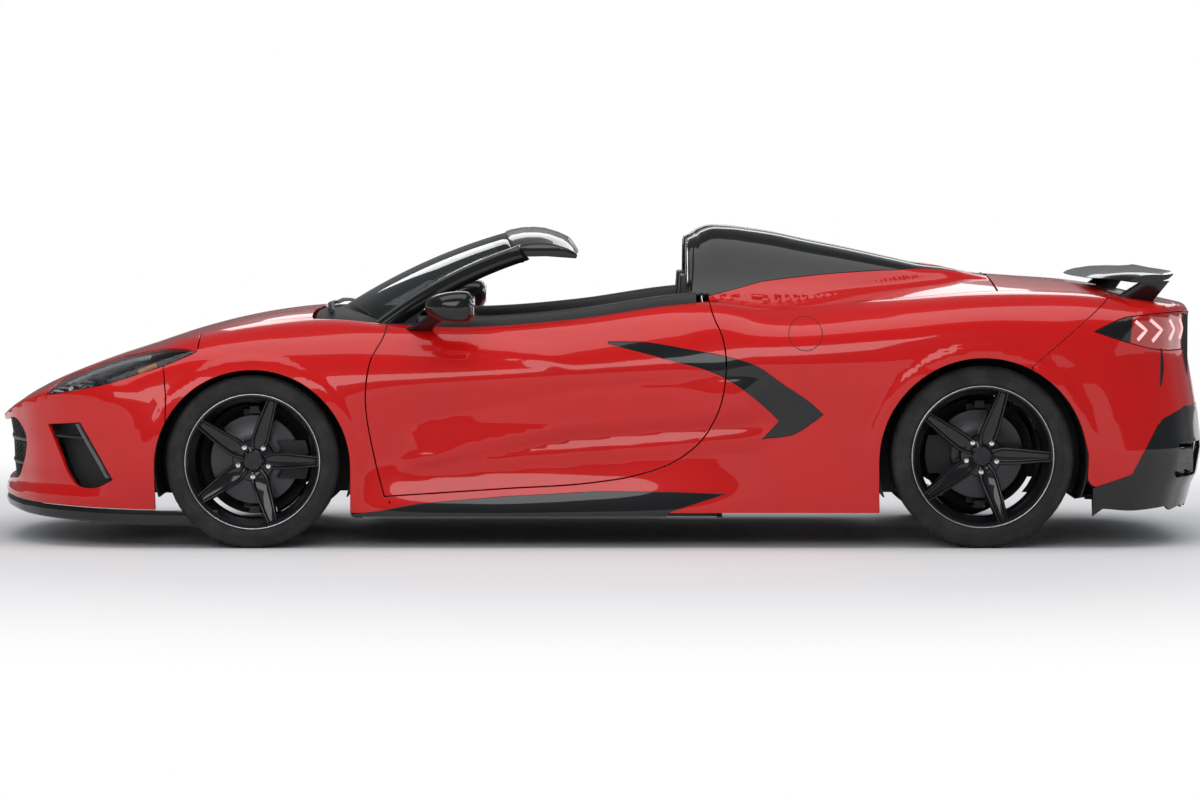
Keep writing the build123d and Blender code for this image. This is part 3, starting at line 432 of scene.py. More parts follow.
def shade_by_angle(piece, angle=35):
    mesh = piece.data
    mesh.polygons.foreach_set("use_smooth", [True] * len(mesh.polygons))
    bm = bmesh.new()
    bm.from_mesh(mesh)
    for edge in bm.edges:
        edge.smooth = len(edge.link_faces) == 2 and edge.calc_face_angle(0) < math.radians(angle)
    bm.to_mesh(mesh)
    bm.free()
    return piece


# panels on the body
def dense(outline, step=12.0, closed=True):
    """Outline with points no further apart than the step."""
    points = np.asarray(outline, float)
    ends = np.roll(points, -1, axis=0) if closed else points[1:]
    starts = points if closed else points[:-1]
    out = []
    for a, b in zip(starts, ends):
        count = max(int(np.ceil(np.linalg.norm(b - a) / step)), 1)
        out.extend(a + (b - a) * (np.arange(count) / count)[:, None])
    if not closed:
        out.append(points[-1])
    return np.array(out)


def curved(outline, sharp=(), step=10.0, closed=True):
    """Outline rounded through its points, with corners kept where they are marked."""
    points = np.asarray(outline, float)
    n = len(points)
    out = []
    for i in range(n if closed else n - 1):
        a, b = points[i], points[(i + 1) % n]
        before = points[(i - 1) % n] if closed or i > 0 else a
        after = points[(i + 2) % n] if closed or i + 2 < n else b
        d = np.linalg.norm(b - a)
        if d < 1e-6:
            continue

        def slope(p, q, r):
            d1, d2 = np.linalg.norm(q - p), np.linalg.norm(r - q)
            if d1 < 1e-6 or d2 < 1e-6:
                return np.zeros(2)
            return ((q - p) / d1 * d2 + (r - q) / d2 * d1) / (d1 + d2)

        ta = (b - a) / d if i in sharp else slope(before, a, b)
        tb = (b - a) / d if (i + 1) % n in sharp else slope(a, b, after)
        count = max(int(np.ceil(d / step)), 1)
        t = (np.arange(count) / count)[:, None]
        out.extend(
            (2 * t**3 - 3 * t**2 + 1) * a + (t**3 - 2 * t**2 + t) * d * ta
            + (-2 * t**3 + 3 * t**2) * b + (t**3 - t**2) * d * tb)
    if not closed:
        out.append(points[-1])
    return np.array(out)


def grow(outline, amount):
    """Closed outline moved outward, its points kept."""
    p = np.asarray(outline, float)
    before, after = np.roll(p, 1, axis=0), np.roll(p, -1, axis=0)
    area = np.sum(p[:, 0] * after[:, 1] - after[:, 0] * p[:, 1])
    turn = 1 if area > 0 else -1

    def normal(d):
        d = d / np.maximum(np.linalg.norm(d, axis=1), 1e-9)[:, None]
        return np.stack([d[:, 1], -d[:, 0]], axis=1) * turn

    n1, n2 = normal(p - before), normal(after - p)
    half = np.maximum(1 + np.sum(n1 * n2, axis=1), 0.5)
    return p + amount * (n1 + n2) / half[:, None]


def inside(points, loop):
    """Which points lie within a closed loop."""
    x, y = points[:, 0], points[:, 1]
    result = np.zeros(len(points), bool)
    x0, y0 = loop[:, 0], loop[:, 1]
    x1, y1 = np.roll(x0, -1), np.roll(y0, -1)
    for a, b, c, d in zip(x0, y0, x1, y1):
        if b == d:
            continue
        cross = (b > y) != (d > y)
        result ^= cross & (x < (c - a) * (y - b) / (d - b) + a)
    return result


class SideView:
    """Maps between a side's flat side view and the body's surface."""

    def __init__(self, side=1):
        self.side = side

    def rays(self, uv):
        n = len(uv)
        origins = np.stack([uv[:, 0], np.full(n, 200.0 * self.side), uv[:, 1]], axis=1)
        return origins, np.tile([0.0, float(self.side), 0.0], (n, 1)), 0, 900

    def flat(self, p):
        return p[:, [0, 2]]


class TopView:
    def rays(self, uv):
        n = len(uv)
        origins = np.stack([uv[:, 0], uv[:, 1], np.full(n, 300.0)], axis=1)
        return origins, np.tile([0.0, 0.0, 1.0], (n, 1)), 0, 1000

    def flat(self, p):
        return p[:, [0, 1]]


class AroundAxis:
    """Unrolls the body about its long axis: along it, and by angle."""

    scale = 820.0

    def __init__(self, side=1):
        self.side = side

    def rays(self, uv):
        angle = uv[:, 1] / self.scale
        n = len(uv)
        origins = np.stack([uv[:, 0], np.zeros(n), np.full(n, AXIS_Z)], axis=1)
        ways = np.stack([np.zeros(n), self.side * np.cos(angle), np.sin(angle)], axis=1)
        return origins, ways, 100, 1500

    def flat(self, p):
        return np.stack([p[:, 0], self.scale * np.arctan2(p[:, 2] - AXIS_Z, self.side * p[:, 1])], axis=1)


class FromPoint:
    """Looks at an end of the body from a point inside it."""

    scale = 620.0

    def __init__(self, x, z, way):
        self.centre = np.array([x, 0.0, z])
        self.way = way

    def rays(self, uv):
        az, el = uv[:, 0] / self.scale, uv[:, 1] / self.scale
        ways = np.stack([self.way * np.cos(el) * np.cos(az), np.cos(el) * np.sin(az), np.sin(el)], axis=1)
        return np.tile(self.centre, (len(uv), 1)), ways, 60, 1800

    def flat(self, p):
        d = p - self.centre
        az = np.arctan2(d[:, 1], self.way * d[:, 0])
        el = np.arctan2(d[:, 2], np.hypot(d[:, 0], d[:, 1]))
        return np.stack([az, el], axis=1) * self.scale


def onto(view, outline, field=body_field):
    """Outline of a flat view as points on the body."""
    origins, ways, near, far = view.rays(np.asarray(outline, float))
    return strike(origins, ways, near, far, field)


def clear_of(grid, loop, closed, gap):
    """Which grid points lie further than the gap from a line."""
    ends = np.roll(loop, -1, axis=0) if closed else loop[1:]
    starts = loop if closed else loop[:-1]
    far = np.ones(len(grid), bool)
    for a, b in zip(starts, ends):
        middle, reach = 0.5 * (a + b), 0.5 * np.abs(b - a) + gap
        index = np.nonzero(far & np.all(np.abs(grid - middle) < reach, axis=1))[0]
        if len(index) == 0:
            continue
        d = b - a
        rel = grid[index] - a
        t = np.clip(rel @ d / max(float(d @ d), 1e-9), 0, 1)
        far[index[np.linalg.norm(rel - t[:, None] * d, axis=1) < gap]] = False
    return far


def panel(view, curves, keep, step=16.0, depth=16.0, field=body_field, lip=1.2, lift=0.0, drop=None):
    """Closed panel on the body: outer skin, rolled lip and inner skin.

    curves are (points in space, closed) pairs that bound it, keep says which
    points in space belong to it, lift moves the skin along its normals.
    """
    flats = [(view.flat(points), closed) for points, closed in curves]
    every = np.concatenate([loop for loop, _ in flats])
    low, high = every.min(axis=0), every.max(axis=0)
    us = np.arange(low[0] + step * 0.5, high[0], step)
    vs = np.arange(low[1] + step * 0.5, high[1], step * 0.866)
    grid = np.array([(u + (0.5 * step if k % 2 else 0), v) for k, v in enumerate(vs) for u in us])

    def kept(flat):
        origins, ways, near, far = view.rays(flat)
        return keep(strike(origins, ways, near, far, field))

    grid = grid[kept(grid)]
    points, edges = [], []
    for loop, closed in flats:
        grid = grid[clear_of(grid, loop, closed, step * 0.5)]
        base, count = len(points), len(loop)
        points.extend([Vector(p) for p in loop])
        edges.extend([(base + i, base + (i + 1) % count) for i in range(count if closed else count - 1)])
    points.extend([Vector(p) for p in grid])
    flat, _, tris, _, _, _ = delaunay_2d_cdt(points, edges, [], 0, 1e-3)
    flat = np.array([tuple(p) for p in flat])
    tris = np.array([tuple(t) for t in tris], int)
    sides = flat[tris[:, 1:]] - flat[tris[:, :1]]
    area = sides[:, 0, 0] * sides[:, 1, 1] - sides[:, 0, 1] * sides[:, 1, 0]
    tris = np.where((area < 0)[:, None], tris[:, ::-1], tris)
    tris = tris[np.abs(area) > 1e-3]
    tris = tris[kept(flat[tris].mean(axis=1))]
    used = np.unique(tris)
    index = -np.ones(len(flat), int)
    index[used] = np.arange(len(used))
    flat, tris = flat[used], index[tris]
    origins, ways, near, far = view.rays(flat)
    points = strike(origins, ways, near, far, field)
    normals = field_normals(points, field)
    faces_way = np.cross(points[tris[:, 1]] - points[tris[:, 0]], points[tris[:, 2]] - points[tris[:, 0]])
    if np.sum(faces_way * normals[tris[:, 0]]) < 0:
        tris = tris[:, ::-1]
    if drop is not None:
        points = points - normals * drop(points)[:, None]
    return close_panel(points + normals * lift, normals, tris, depth, lip)


def close_panel(points, normals, tris, depth, lip):
    """Gives an open skin a rolled lip and an inner skin."""
    count = {}
    for a, b, c in tris:
        for p, q in ((a, b), (b, c), (c, a)):
            count[(p, q)] = count.get((p, q), 0) + 1
    rim = [(p, q) for p, q in count if (q, p) not in count]
    rim_index = {}
    out_way = {}
    for p, q in rim:
        along = points[q] - points[p]
        side = np.cross(along, normals[p])
        side = side / max(np.linalg.norm(side), 1e-9)
        for k in (p, q):
            out_way[k] = out_way.get(k, 0) + side
            rim_index.setdefault(k, len(rim_index))
    order = sorted(rim_index, key=rim_index.get)
    n, m = len(points), len(order)
    away = np.array([out_way[k] / max(np.linalg.norm(out_way[k]), 1e-9) for k in order]).reshape(-1, 3)
    edge_n = normals[order]
    top = points.copy()
    top[order] = points[order] - away * lip
    ring_a = points[order] - edge_n * lip
    ring_b = points[order] - edge_n * depth
    back = points - normals * depth
    back[order] = ring_b
    verts = np.concatenate([top, ring_a, back])
    vert_normals = np.concatenate([normals,
                                   (edge_n + away) / np.linalg.norm(edge_n + away, axis=1)[:, None],
                                   -normals])
    faces = [tuple(t) for t in tris]
    for p, q in rim:
        a, b = rim_index[p], rim_index[q]
        faces.append((q, p, n + a, n + b))
        faces.append((n + b, n + a, n + m + p, n + m + q))
    faces.extend([(n + m + t[2], n + m + t[1], n + m + t[0]) for t in tris])
    loops = []
    for face in faces:
        loops.append(face)
    return verts, loops, vert_normals, n


def body_panel(name, view, curves, keep, finish, body, node=None, slot="body_paint", **options):
    verts, faces, normals, skin = panel(view, curves, keep, **options)
    piece = make_piece(name, verts, faces, finish_of(finish), body, node)
    mesh = piece.data
    face_ways = [tuple(p.normal) for p in mesh.polygons]
    corner_normals = []
    for poly in mesh.polygons:
        for v in poly.vertices:
            corner_normals.append(tuple(normals[v]) if v < skin else face_ways[poly.index])
    mesh.normals_split_custom_set(corner_normals)
    return piece


# Outlines in the side view (x, z) and in plan (x, y of the right half)
DOOR = (
    (-810, 196), (-377, 224), (-27, 248), (102, 268), (292, 338), (371, 406), (431, 510), (458, 637),
    (458, 732), (447, 787), (413, 869), (388, 1000), (-800, 1000), (-812, 795), (-862, 695), (-876, 615),
    (-842, 320),
)
DOOR_CORNERS = (0, 11, 12)
SKIRT = (
    (-932, 118), (-932, 128), (-845, 137), (-686, 166), (-377, 193), (-17, 212), (272, 210), (462, 203),
    (255, 136), (240, 118),
)
LAMP = (
    (-2083, 569), (-1935, 596), (-1850, 614), (-1744, 647), (-1611, 692), (-1512, 734), (-1585, 741),
    (-1664, 735), (-1744, 718), (-1850, 690), (-1956, 650), (-2046, 612),
)
LAMP_CORNERS = (0, 5)
BLADE = (
    (22, 772), (172, 769), (321, 744), (461, 717), (565, 687), (680, 610), (784, 539), (826, 500),
    (793, 475), (719, 427), (596, 408), (659, 475), (589, 542), (461, 634), (222, 710), (23, 762),
)
BLADE_CORNERS = (0, 7, 10, 11, 15)
TAIL_LAMP = (
    (1835, 810), (1959, 861), (2015, 868), (2095, 875), (2400, 870), (2400, 748), (2058, 744), (1959, 770),
)
TAIL_LAMP_CORNERS = (0, 4, 5)
DIFFUSER = ((2400, 521), (2198, 521), (2102, 481), (2077, 455), (1977, 275), (1830, 226), (1830, 60),
            (2400, 60))
CORNER_MOUTH = ((-2080, 458), (-1950, 468), (-1824, 255), (-1892, 224), (-1966, 233), (-1998, 272),
                (-2030, 344))
FENDER_FRONT = ((-1640, 100), (-1625, 560), (-1640, 700), (-1512, 740))
BUMPER_REAR = ((1602, 60), (1602, 678), (1901, 933), (1901, 1000))
HOOD_HALF = (
    (-2118, 0), (-2100, 220), (-2050, 400), (-1980, 540), (-1800, 590), (-1572, 634), (-1303, 662),
    (-1170, 669), (-1095, 669), (-1095, 0),
)
TONNEAU_HALF = ((404, 0), (404, 700), (614, 735), (1044, 752), (1250, 748), (1485, 724), (1485, 0))
DECK_HALF = ((1493, 0), (1493, 722), (1700, 716), (1950, 690), (2120, 640), (2300, 560), (2300, 0))
MOUTH_HALF = ((0, 236), (450, 236), (590, 258), (648, 330), (664, 420), (640, 452), (440, 458), (0, 458))
SEAM = 4.5
HEM_Z = 132
FRONT_ARCH = (-1303, 303, 365)
REAR_ARCH = (1420, 324, 388)


def whole(half):
    """Plan outline of both halves from the right one."""
    return tuple(half) + tuple((x, -y) for x, y in reversed(half) if y > 0)


def arch(centre_x, centre_z, radius, steps=48):
    """Closed outline of a wheel opening, straight down below its centre."""
    turns = np.linspace(0, math.pi, steps)
    round_part = np.stack([centre_x + radius * np.cos(turns), centre_z + radius * np.sin(turns)], axis=1)
    return np.concatenate([[(centre_x + radius, 20)], round_part, [(centre_x - radius, 20)]])


DOOR_LINE = curved(DOOR, DOOR_CORNERS)
DOOR_ROOM = grow(DOOR_LINE, SEAM)
LAMP_LINE = curved(LAMP, LAMP_CORNERS)
LAMP_ROOM = grow(LAMP_LINE, 3)
BLADE_LINE = curved(BLADE, BLADE_CORNERS)
TAIL_LAMP_LINE = curved(TAIL_LAMP, TAIL_LAMP_CORNERS)
TAIL_LAMP_ROOM = grow(TAIL_LAMP_LINE, 3)
DIFFUSER_LINE = dense(DIFFUSER)
CORNER_LINE = curved(CORNER_MOUTH, (0, 1, 2))
SKIRT_LINE = dense(SKIRT)
HOOD_LINE = curved(whole(HOOD_HALF), (8, 9, 10))
HOOD_ROOM = grow(HOOD_LINE, SEAM)
TONNEAU_LINE = dense(whole(TONNEAU_HALF))
TONNEAU_ROOM = grow(TONNEAU_LINE, SEAM)
DECK_LINE = dense(whole(DECK_HALF))
DECK_ROOM = grow(DECK_LINE, SEAM)
FRONT_ARCH_LINE = arch(*FRONT_ARCH)
REAR_ARCH_LINE = arch(*REAR_ARCH)


def side_in(outline, p):
    return inside(p[:, [0, 2]], outline)


def plan_in(outline, p):
    return inside(p[:, [0, 1]], outline)


def side_curve(outline, side=1, closed=True, field=body_field):
    return onto(SideView(side), outline, field), closed


def plan_curve_on(outline, closed=True, field=body_field):
    return onto(TopView(), outline, field), closed


# finishes
class Link:
    """A shader socket that takes part in Python expressions."""

    def __init__(self, finish, socket):
        self.finish = finish
        self.socket = socket

    def _math(self, operation, *values):
        return self.finish.add("ShaderNodeMath", {"operation": operation}, dict(enumerate(values)))

    def __add__(self, other):
        return self._math("ADD", self, other)

    def __sub__(self, other):
        return self._math("SUBTRACT", self, other)

    def __rsub__(self, other):
        return self._math("SUBTRACT", other, self)

    def __mul__(self, other):
        return self._math("MULTIPLY", self, other)

    def __truediv__(self, other):
        return self._math("DIVIDE", self, other)

    def __pow__(self, other):
        return self._math("POWER", self, other)

    def __lt__(self, other):
        return self._math("LESS_THAN", self, other)

    def __gt__(self, other):
        return self._math("GREATER_THAN", self, other)

    def __abs__(self):
        return self._math("ABSOLUTE", self)

    __radd__ = __add__
    __rmul__ = __mul__


    def sine(self):
        return self._math("SINE", self)


    def between(self, low, high, out_low=0.0, out_high=1.0):
        """Smooth step of the value from one range to another."""
        return self.finish.add(
            "ShaderNodeMapRange", {"interpolation_type": "SMOOTHSTEP"},
            {"Value": self, "From Min": low, "From Max": high, "To Min": out_low, "To Max": out_high})


class Finish:
    """A procedural material on a Principled surface."""

    def __init__(self, name, color, roughness=0.5, **constants):
        self.material = bpy.data.materials.new(name)
        self.material.use_nodes = True
        self.tree = self.material.node_tree
        self.shader = self.tree.nodes["Principled BSDF"]
        self.set(**{"Base Color": (*color, 1.0) if len(color) == 3 else color, "Roughness": roughness})
        self.set(**{key.replace("_", " "): value for key, value in constants.items()})
        self.place = self.add("ShaderNodeTexCoord", output="Object")

    def add(self, kind, settings=None, values=None, output=None):
        """Any node: its type, its settings, and values or links for its sockets."""
        node = self.tree.nodes.new(kind)
        for key, value in (settings or {}).items():
            if key == "stops":
                ramp = node.color_ramp
                while len(ramp.elements) < len(value):
                    ramp.elements.new(0.5)
                for element, (at, color) in zip(ramp.elements, value):
                    element.position = at
                    element.color = color
            else:
                setattr(node, key, value)
        for key, value in (values or {}).items():
            self.plug(node.inputs[key], value)
        socket = node.outputs[output] if output is not None else next(o for o in node.outputs if o.enabled)
        return Link(self, socket)

    def plug(self, socket, value):
        if isinstance(value, Link):
            self.tree.links.new(value.socket, socket)
        else:
            socket.default_value = value

    def set(self, **values):
        for key, value in values.items():
            self.plug(self.shader.inputs[key], value)
        return self

    def noise(self, scale, detail=2.0, where=None, roughness=0.5):
        return self.add(
            "ShaderNodeTexNoise", None,
            {"Vector": where or self.place, "Scale": scale, "Detail": detail, "Roughness": roughness}, "Fac")

    def axis(self, name, where=None):
        return self.add("ShaderNodeSeparateXYZ", None, {0: where or self.place}, name)

    def mix(self, factor, first, second):
        return self.add(
            "ShaderNodeMix", {"data_type": "RGBA"}, {0: factor, 6: first, 7: second}, 2)

    def bump(self, height, distance, strength=1.0):
        self.set(Normal=self.add(
            "ShaderNodeBump", None, {"Height": height, "Distance": distance, "Strength": strength}, "Normal"))
        return self


def rgb(*values):
    return (*values, 1.0)


def paint_finish(name, color):
    """Solid gloss paint: faint orange peel under a hard clear coat."""
    finish = Finish(
        name, color, 0.32, Specular_IOR_Level=0.12, Coat_Weight=0.75, Coat_Roughness=0.025, Coat_IOR=1.5)
    tone = finish.noise(3.0, 3.0).between(0.3, 0.7)
    shade = tuple(c * 0.93 for c in color)
    finish.set(**{"Base Color": finish.mix(tone, rgb(*shade), rgb(*color))})
    peel = finish.noise(420.0, 1.0)
    finish.set(Roughness=0.30 + 0.06 * finish.noise(60.0))
    return finish.bump(peel, 0.00003, 0.25).material


def plastic_finish(name, color, roughness, grain=900.0, depth=0.00008, coat=0.0):
    """Moulded plastic with a fine grain and slight wear of its gloss."""
    finish = Finish(name, color, roughness, Coat_Weight=coat, Coat_Roughness=0.04)
    cells = finish.add("ShaderNodeTexVoronoi", None, {"Vector": finish.place, "Scale": grain}, "Distance")
    patch = finish.noise(9.0, 3.0)
    finish.set(Roughness=roughness * (0.86 + 0.28 * patch))
    lighter = tuple(min(c * 1.25 + 0.001, 1) for c in color)
    finish.set(**{"Base Color": finish.mix(patch.between(0.35, 0.65), rgb(*color), rgb(*lighter))})
    return finish.bump(cells, depth, 0.6).material


def metal_finish(name, color, roughness, scale=30.0, metallic=1.0, depth=0.00006):
    """Bare or coated metal with cast or brushed variation."""
    finish = Finish(name, color, roughness, Metallic=metallic)
    patch = finish.noise(scale, 5.0)
    finish.set(Roughness=(roughness - 0.06) + 0.14 * patch)
    darker = tuple(c * 0.78 for c in color)
    finish.set(**{"Base Color": finish.mix(patch.between(0.3, 0.7), rgb(*darker), rgb(*color))})
    return finish.bump(finish.noise(scale * 14, 3.0), depth, 0.5).material


def leather_finish(name, color, roughness=0.46):
    finish = Finish(name, color, roughness, Specular_IOR_Level=0.42)
    pebble = finish.add(
        "ShaderNodeTexVoronoi", {"feature": "SMOOTH_F1"}, {"Vector": finish.place, "Scale": 420.0},
        "Distance")
    crease = finish.noise(38.0, 6.0, roughness=0.6)
    lighter = tuple(min(c * 1.5 + 0.004, 1) for c in color)
    finish.set(**{"Base Color": finish.mix(crease.between(0.35, 0.7), rgb(*color), rgb(*lighter))})
    finish.set(Roughness=(roughness - 0.08) + 0.2 * crease)
    return finish.bump(pebble * 0.7 + crease * 0.5, 0.0005, 0.55).material


def rubber_finish(name):
    finish = Finish(name, (0.016, 0.016, 0.017), 0.78, Specular_IOR_Level=0.35)
    dust = finish.noise(14.0, 5.0)
    finish.set(**{"Base Color": finish.mix(
        dust.between(0.35, 0.75), rgb(0.013, 0.013, 0.014), rgb(0.030, 0.029, 0.028))})
    finish.set(Roughness=0.70 + 0.16 * dust)
    return finish.bump(finish.noise(700.0, 2.0), 0.0001, 0.5).material


def glass_finish(name, color, roughness=0.0, alpha=1.0):
    """Thin clear glass: the surface passes light straight through and keeps its gloss."""
    finish = Finish(name, color, roughness, Transmission_Weight=1.0, IOR=1.32, Alpha=alpha)
    finish.set(Roughness=roughness + 0.006 * finish.noise(4.0))
    return finish.material


def lamp_finish(name, color, strength):
    """Lit lens: coloured plastic with fine flutes and a soft glow of its own."""
    finish = Finish(name, color, 0.12, Coat_Weight=1.0, Coat_Roughness=0.03, Emission_Strength=strength)
    flutes = (finish.axis("Z") * 1400.0).sine()
    finish.set(**{
        "Emission Color": finish.mix(flutes.between(-1, 1), rgb(*(0.86 * c for c in color)), rgb(*color))})
    return finish.bump(flutes, 0.0002, 0.3).material


FINISHES = {}


def finish_of(name):
    return FINISHES[name]


def make_finishes(sizes):
    red = tuple(sizes.paint_color)
    FINISHES.update({
        "paint": paint_finish("body_paint_red", red),
        "gloss_black": paint_finish("gloss_black_trim", (0.006, 0.0065, 0.0075)),
        "satin_black": plastic_finish("satin_black_plastic", (0.012, 0.0125, 0.013), 0.42),
        "matte_black": plastic_finish("matte_black_plastic", (0.010, 0.010, 0.0105), 0.66, 600.0, 0.00016),
        "interior": plastic_finish("grained_dash_skin", (0.018, 0.018, 0.019), 0.62, 520.0, 0.0002),
        "structure": metal_finish("sealed_floor_metal", (0.035, 0.036, 0.038), 0.55, 22.0, 0.3),
        "cast": metal_finish("cast_arm_metal", (0.055, 0.055, 0.058), 0.48, 60.0),
        "engine": metal_finish("engine_alloy", (0.42, 0.42, 0.43), 0.42, 40.0),
        "disc": metal_finish("brake_disc_steel", (0.085, 0.086, 0.09), 0.34, 180.0),
        "rim": paint_finish("rim_gloss_black", (0.008, 0.009, 0.010)),
        "bright": metal_finish("bright_trim_metal", (0.78, 0.79, 0.80), 0.14, 90.0),
        "chrome": metal_finish("tail_pipe_chrome", (0.16, 0.16, 0.165), 0.16, 70.0),
        "rubber": rubber_finish("tyre_rubber_black"),
        "leather": leather_finish("seat_leather_black", (0.016, 0.016, 0.017)),
        "thread": leather_finish("seat_stitching_thread", (0.45, 0.02, 0.015), 0.7),
        "glass": glass_finish("windshield_clear", (0.30, 0.33, 0.325)),
        "dark_band_glass": glass_finish("windshield_dark_band", (0.012, 0.015, 0.015)),
        "lens": glass_finish("lamp_cover_clear", (0.62, 0.63, 0.63)),
        "mirror": metal_finish("mirror_silver", (0.86, 0.88, 0.89), 0.03, 5.0, depth=0.000002),
        "drl": lamp_finish("daytime_strip_white", (0.86, 0.90, 0.95), 0.35),
        "amber": lamp_finish("marker_amber", (0.85, 0.28, 0.02), 0.15),
        "tail_red": lamp_finish("tail_lens_red", (0.36, 0.004, 0.006), 0.10),
        "tail_bright": lamp_finish("tail_chevron_pink", (0.95, 0.55, 0.55), 0.45),
        "edge_grey": metal_finish("intake_edge_grey", (0.16, 0.165, 0.17), 0.3, 90.0),
        "silver": metal_finish("projector_silver", (0.62, 0.64, 0.66), 0.22, 120.0),
        "dial": lamp_finish("dial_face_dark", (0.05, 0.06, 0.07), 0.3),
        "carpet": plastic_finish("cabin_carpet", (0.012, 0.012, 0.0125), 0.9, 380.0, 0.0012),
    })


# painted panels
def build_hood():
    curves = [plan_curve_on(HOOD_LINE)]
    body_panel("hood_skin", TopView(), curves, lambda p: plan_in(HOOD_LINE, p), "paint", "front_lid", "hood")


def fender_keep(side):
    def keep(p):
        q = p * (1, side, 1)
        ahead = np.interp(q[:, 2], [z for _, z in FENDER_FRONT], [x for x, _ in FENDER_FRONT]) + 4
        return (
            (q[:, 1] > 0) & (q[:, 0] > ahead) & (q[:, 0] < -790) & (q[:, 2] > HEM_Z)
            & ~plan_in(HOOD_ROOM, q) & ~side_in(DOOR_ROOM, q) & ~side_in(LAMP_ROOM, q)
            & ~side_in(FRONT_ARCH_LINE, q) & ~side_in(SKIRT_LINE, q) & ~plan_in(COWL_ROOM, q)
        )
    return keep


COWL_ROOM = dense(((-1090, -900), (-1090, 697), (-830, 743), (-700, 745), (-700, -900)))


def line_at(*points):
    return dense(points, closed=False)


# Where a fender meets the hood and the cowl, in plan
FENDER_TOP = ((-1090, 500), (-1090, 697), (-830, 743), (-760, 745))


def build_fenders():
    front = [(x + 4, z) for x, z in FENDER_FRONT]
    for side, label in SIDES:
        mirror_plan = np.array([1, side])
        curves = [
            side_curve(line_at(*front), side, False), side_curve(DOOR_ROOM, side),
            side_curve(LAMP_ROOM, side), side_curve(FRONT_ARCH_LINE, side), side_curve(SKIRT_LINE, side),
            side_curve(line_at((-1700, HEM_Z), (-760, HEM_Z)), side, False), plan_curve_on(HOOD_ROOM),
            plan_curve_on(line_at(*FENDER_TOP) * mirror_plan, False),
        ]
        body_panel("front_fender_" + label, AroundAxis(side), curves, fender_keep(side), "paint", "body",
                   "front_fenders", depth=9)


def build_doors():
    for side, label in SIDES:
        def keep(p, side=side):
            q = p * (1, side, 1)
            return (
                (q[:, 1] > 0) & side_in(DOOR_LINE, q) & ~side_in(BLADE_LINE, q) & ~side_in(SKIRT_LINE, q)
                & (q[:, 1] > DOOR_BELT_Y)
            )
        curves = [
            side_curve(DOOR_LINE, side), side_curve(BLADE_LINE, side), side_curve(SKIRT_LINE, side),
            plan_curve_on(line_at((-900, side * DOOR_BELT_Y), (480, side * DOOR_BELT_Y)), False),
        ]
        body_panel("door_skin_" + label, AroundAxis(side), curves, keep, "paint", "door_assembly_" + label,
                   "door_" + label, depth=20)


DOOR_BELT_Y = 744


# Fuel flap: place and radius of its seam, and the seam's section across and out of the skin
FLAP_X, FLAP_Z, FLAP_R = 758, 801, 62
FLAP_SEAM = ((-1.3, -2), (1.3, -2), (1.3, 0.5), (-1.3, 0.5))


def build_quarters():
    rear = BUMPER_REAR
    for side, label in SIDES:
        def keep(p, side=side):
            q = p * (1, side, 1)
            behind = np.interp(q[:, 2], [z for _, z in rear], [x for x, _ in rear]) - 4
            return (
                (q[:, 1] > 0) & ((q[:, 0] > 370) | ((q[:, 0] > -800) & (q[:, 2] < 480)))
                & (q[:, 0] < behind) & (q[:, 2] > HEM_Z)
                & ~plan_in(TONNEAU_ROOM, q) & ~plan_in(DECK_ROOM, q) & ~side_in(DOOR_ROOM, q)
                & ~side_in(SKIRT_LINE, q) & ~side_in(REAR_ARCH_LINE, q)
                & ~side_in(BLADE_LINE, q) & ((q[:, 0] > 440) | (q[:, 1] > DOOR_BELT_Y))
            )
        curves = [
            side_curve(line_at(*[(x - 4, z) for x, z in rear]), side, False), side_curve(DOOR_ROOM, side),
            side_curve(SKIRT_LINE, side), side_curve(REAR_ARCH_LINE, side),
            side_curve(BLADE_LINE, side), side_curve(line_at((-810, HEM_Z), (1700, HEM_Z)), side, False),
            plan_curve_on(TONNEAU_ROOM), plan_curve_on(DECK_ROOM),
        ]
        body_panel("rear_quarter_" + label, AroundAxis(side), curves, keep, "paint", "body",
                   "rear_quarters", drop=intake_dip)
    ring = Shape()
    turns = np.linspace(0, math.tau, 73)[:-1]
    circle = onto(SideView(-1), [
        (FLAP_X + FLAP_R * math.cos(a), FLAP_Z + FLAP_R * math.sin(a)) for a in turns])
    normals = field_normals(circle)
    outward = np.stack([np.cos(turns), 0 * turns, np.sin(turns)], axis=1)
    rows = [[tuple(p + w * u + n * v) for u, v in FLAP_SEAM] for p, n, w in zip(circle, normals, outward)]
    ring.tube_of(rows, close=True)
    shaped_piece("fuel_flap_seam", ring, "matte_black", "body", None)


def intake_dip(points):
    """The flank sinks toward the blade, where the side intake draws its air."""
    x, z = points[:, 0], points[:, 2]
    low = np.interp(x, (455, 520, 600, 680), (560, 470, 420, 470))
    high = np.interp(x, (455, 589, 657), (642, 542, 475))
    share = np.clip((z - low) / np.maximum(high - low, 8), 0, 1)
    held = (x > 455) & (x < 668) & (z < high + 6)
    return 13 * share * share * held


NOSE_VIEW = FromPoint(-1600, 380, -1)
TAIL_VIEW = FromPoint(1560, 480, 1)
MOUTH_LINE = curved(tuple(MOUTH_HALF) + tuple((-y, z) for y, z in reversed(MOUTH_HALF) if y > 0), (), 12)


def front_in(outline, p):
    return inside(p[:, [1, 2]], outline)


def nose_points(outline):
    """Outline in the front view (y, z) as points on the nose."""
    outline = np.asarray(outline, float)
    origins = np.stack([np.full(len(outline), -1700.0), outline[:, 0], outline[:, 1]], axis=1)
    return strike(origins, np.tile([-1.0, 0.0, 0.0], (len(outline), 1)), 0, 900)


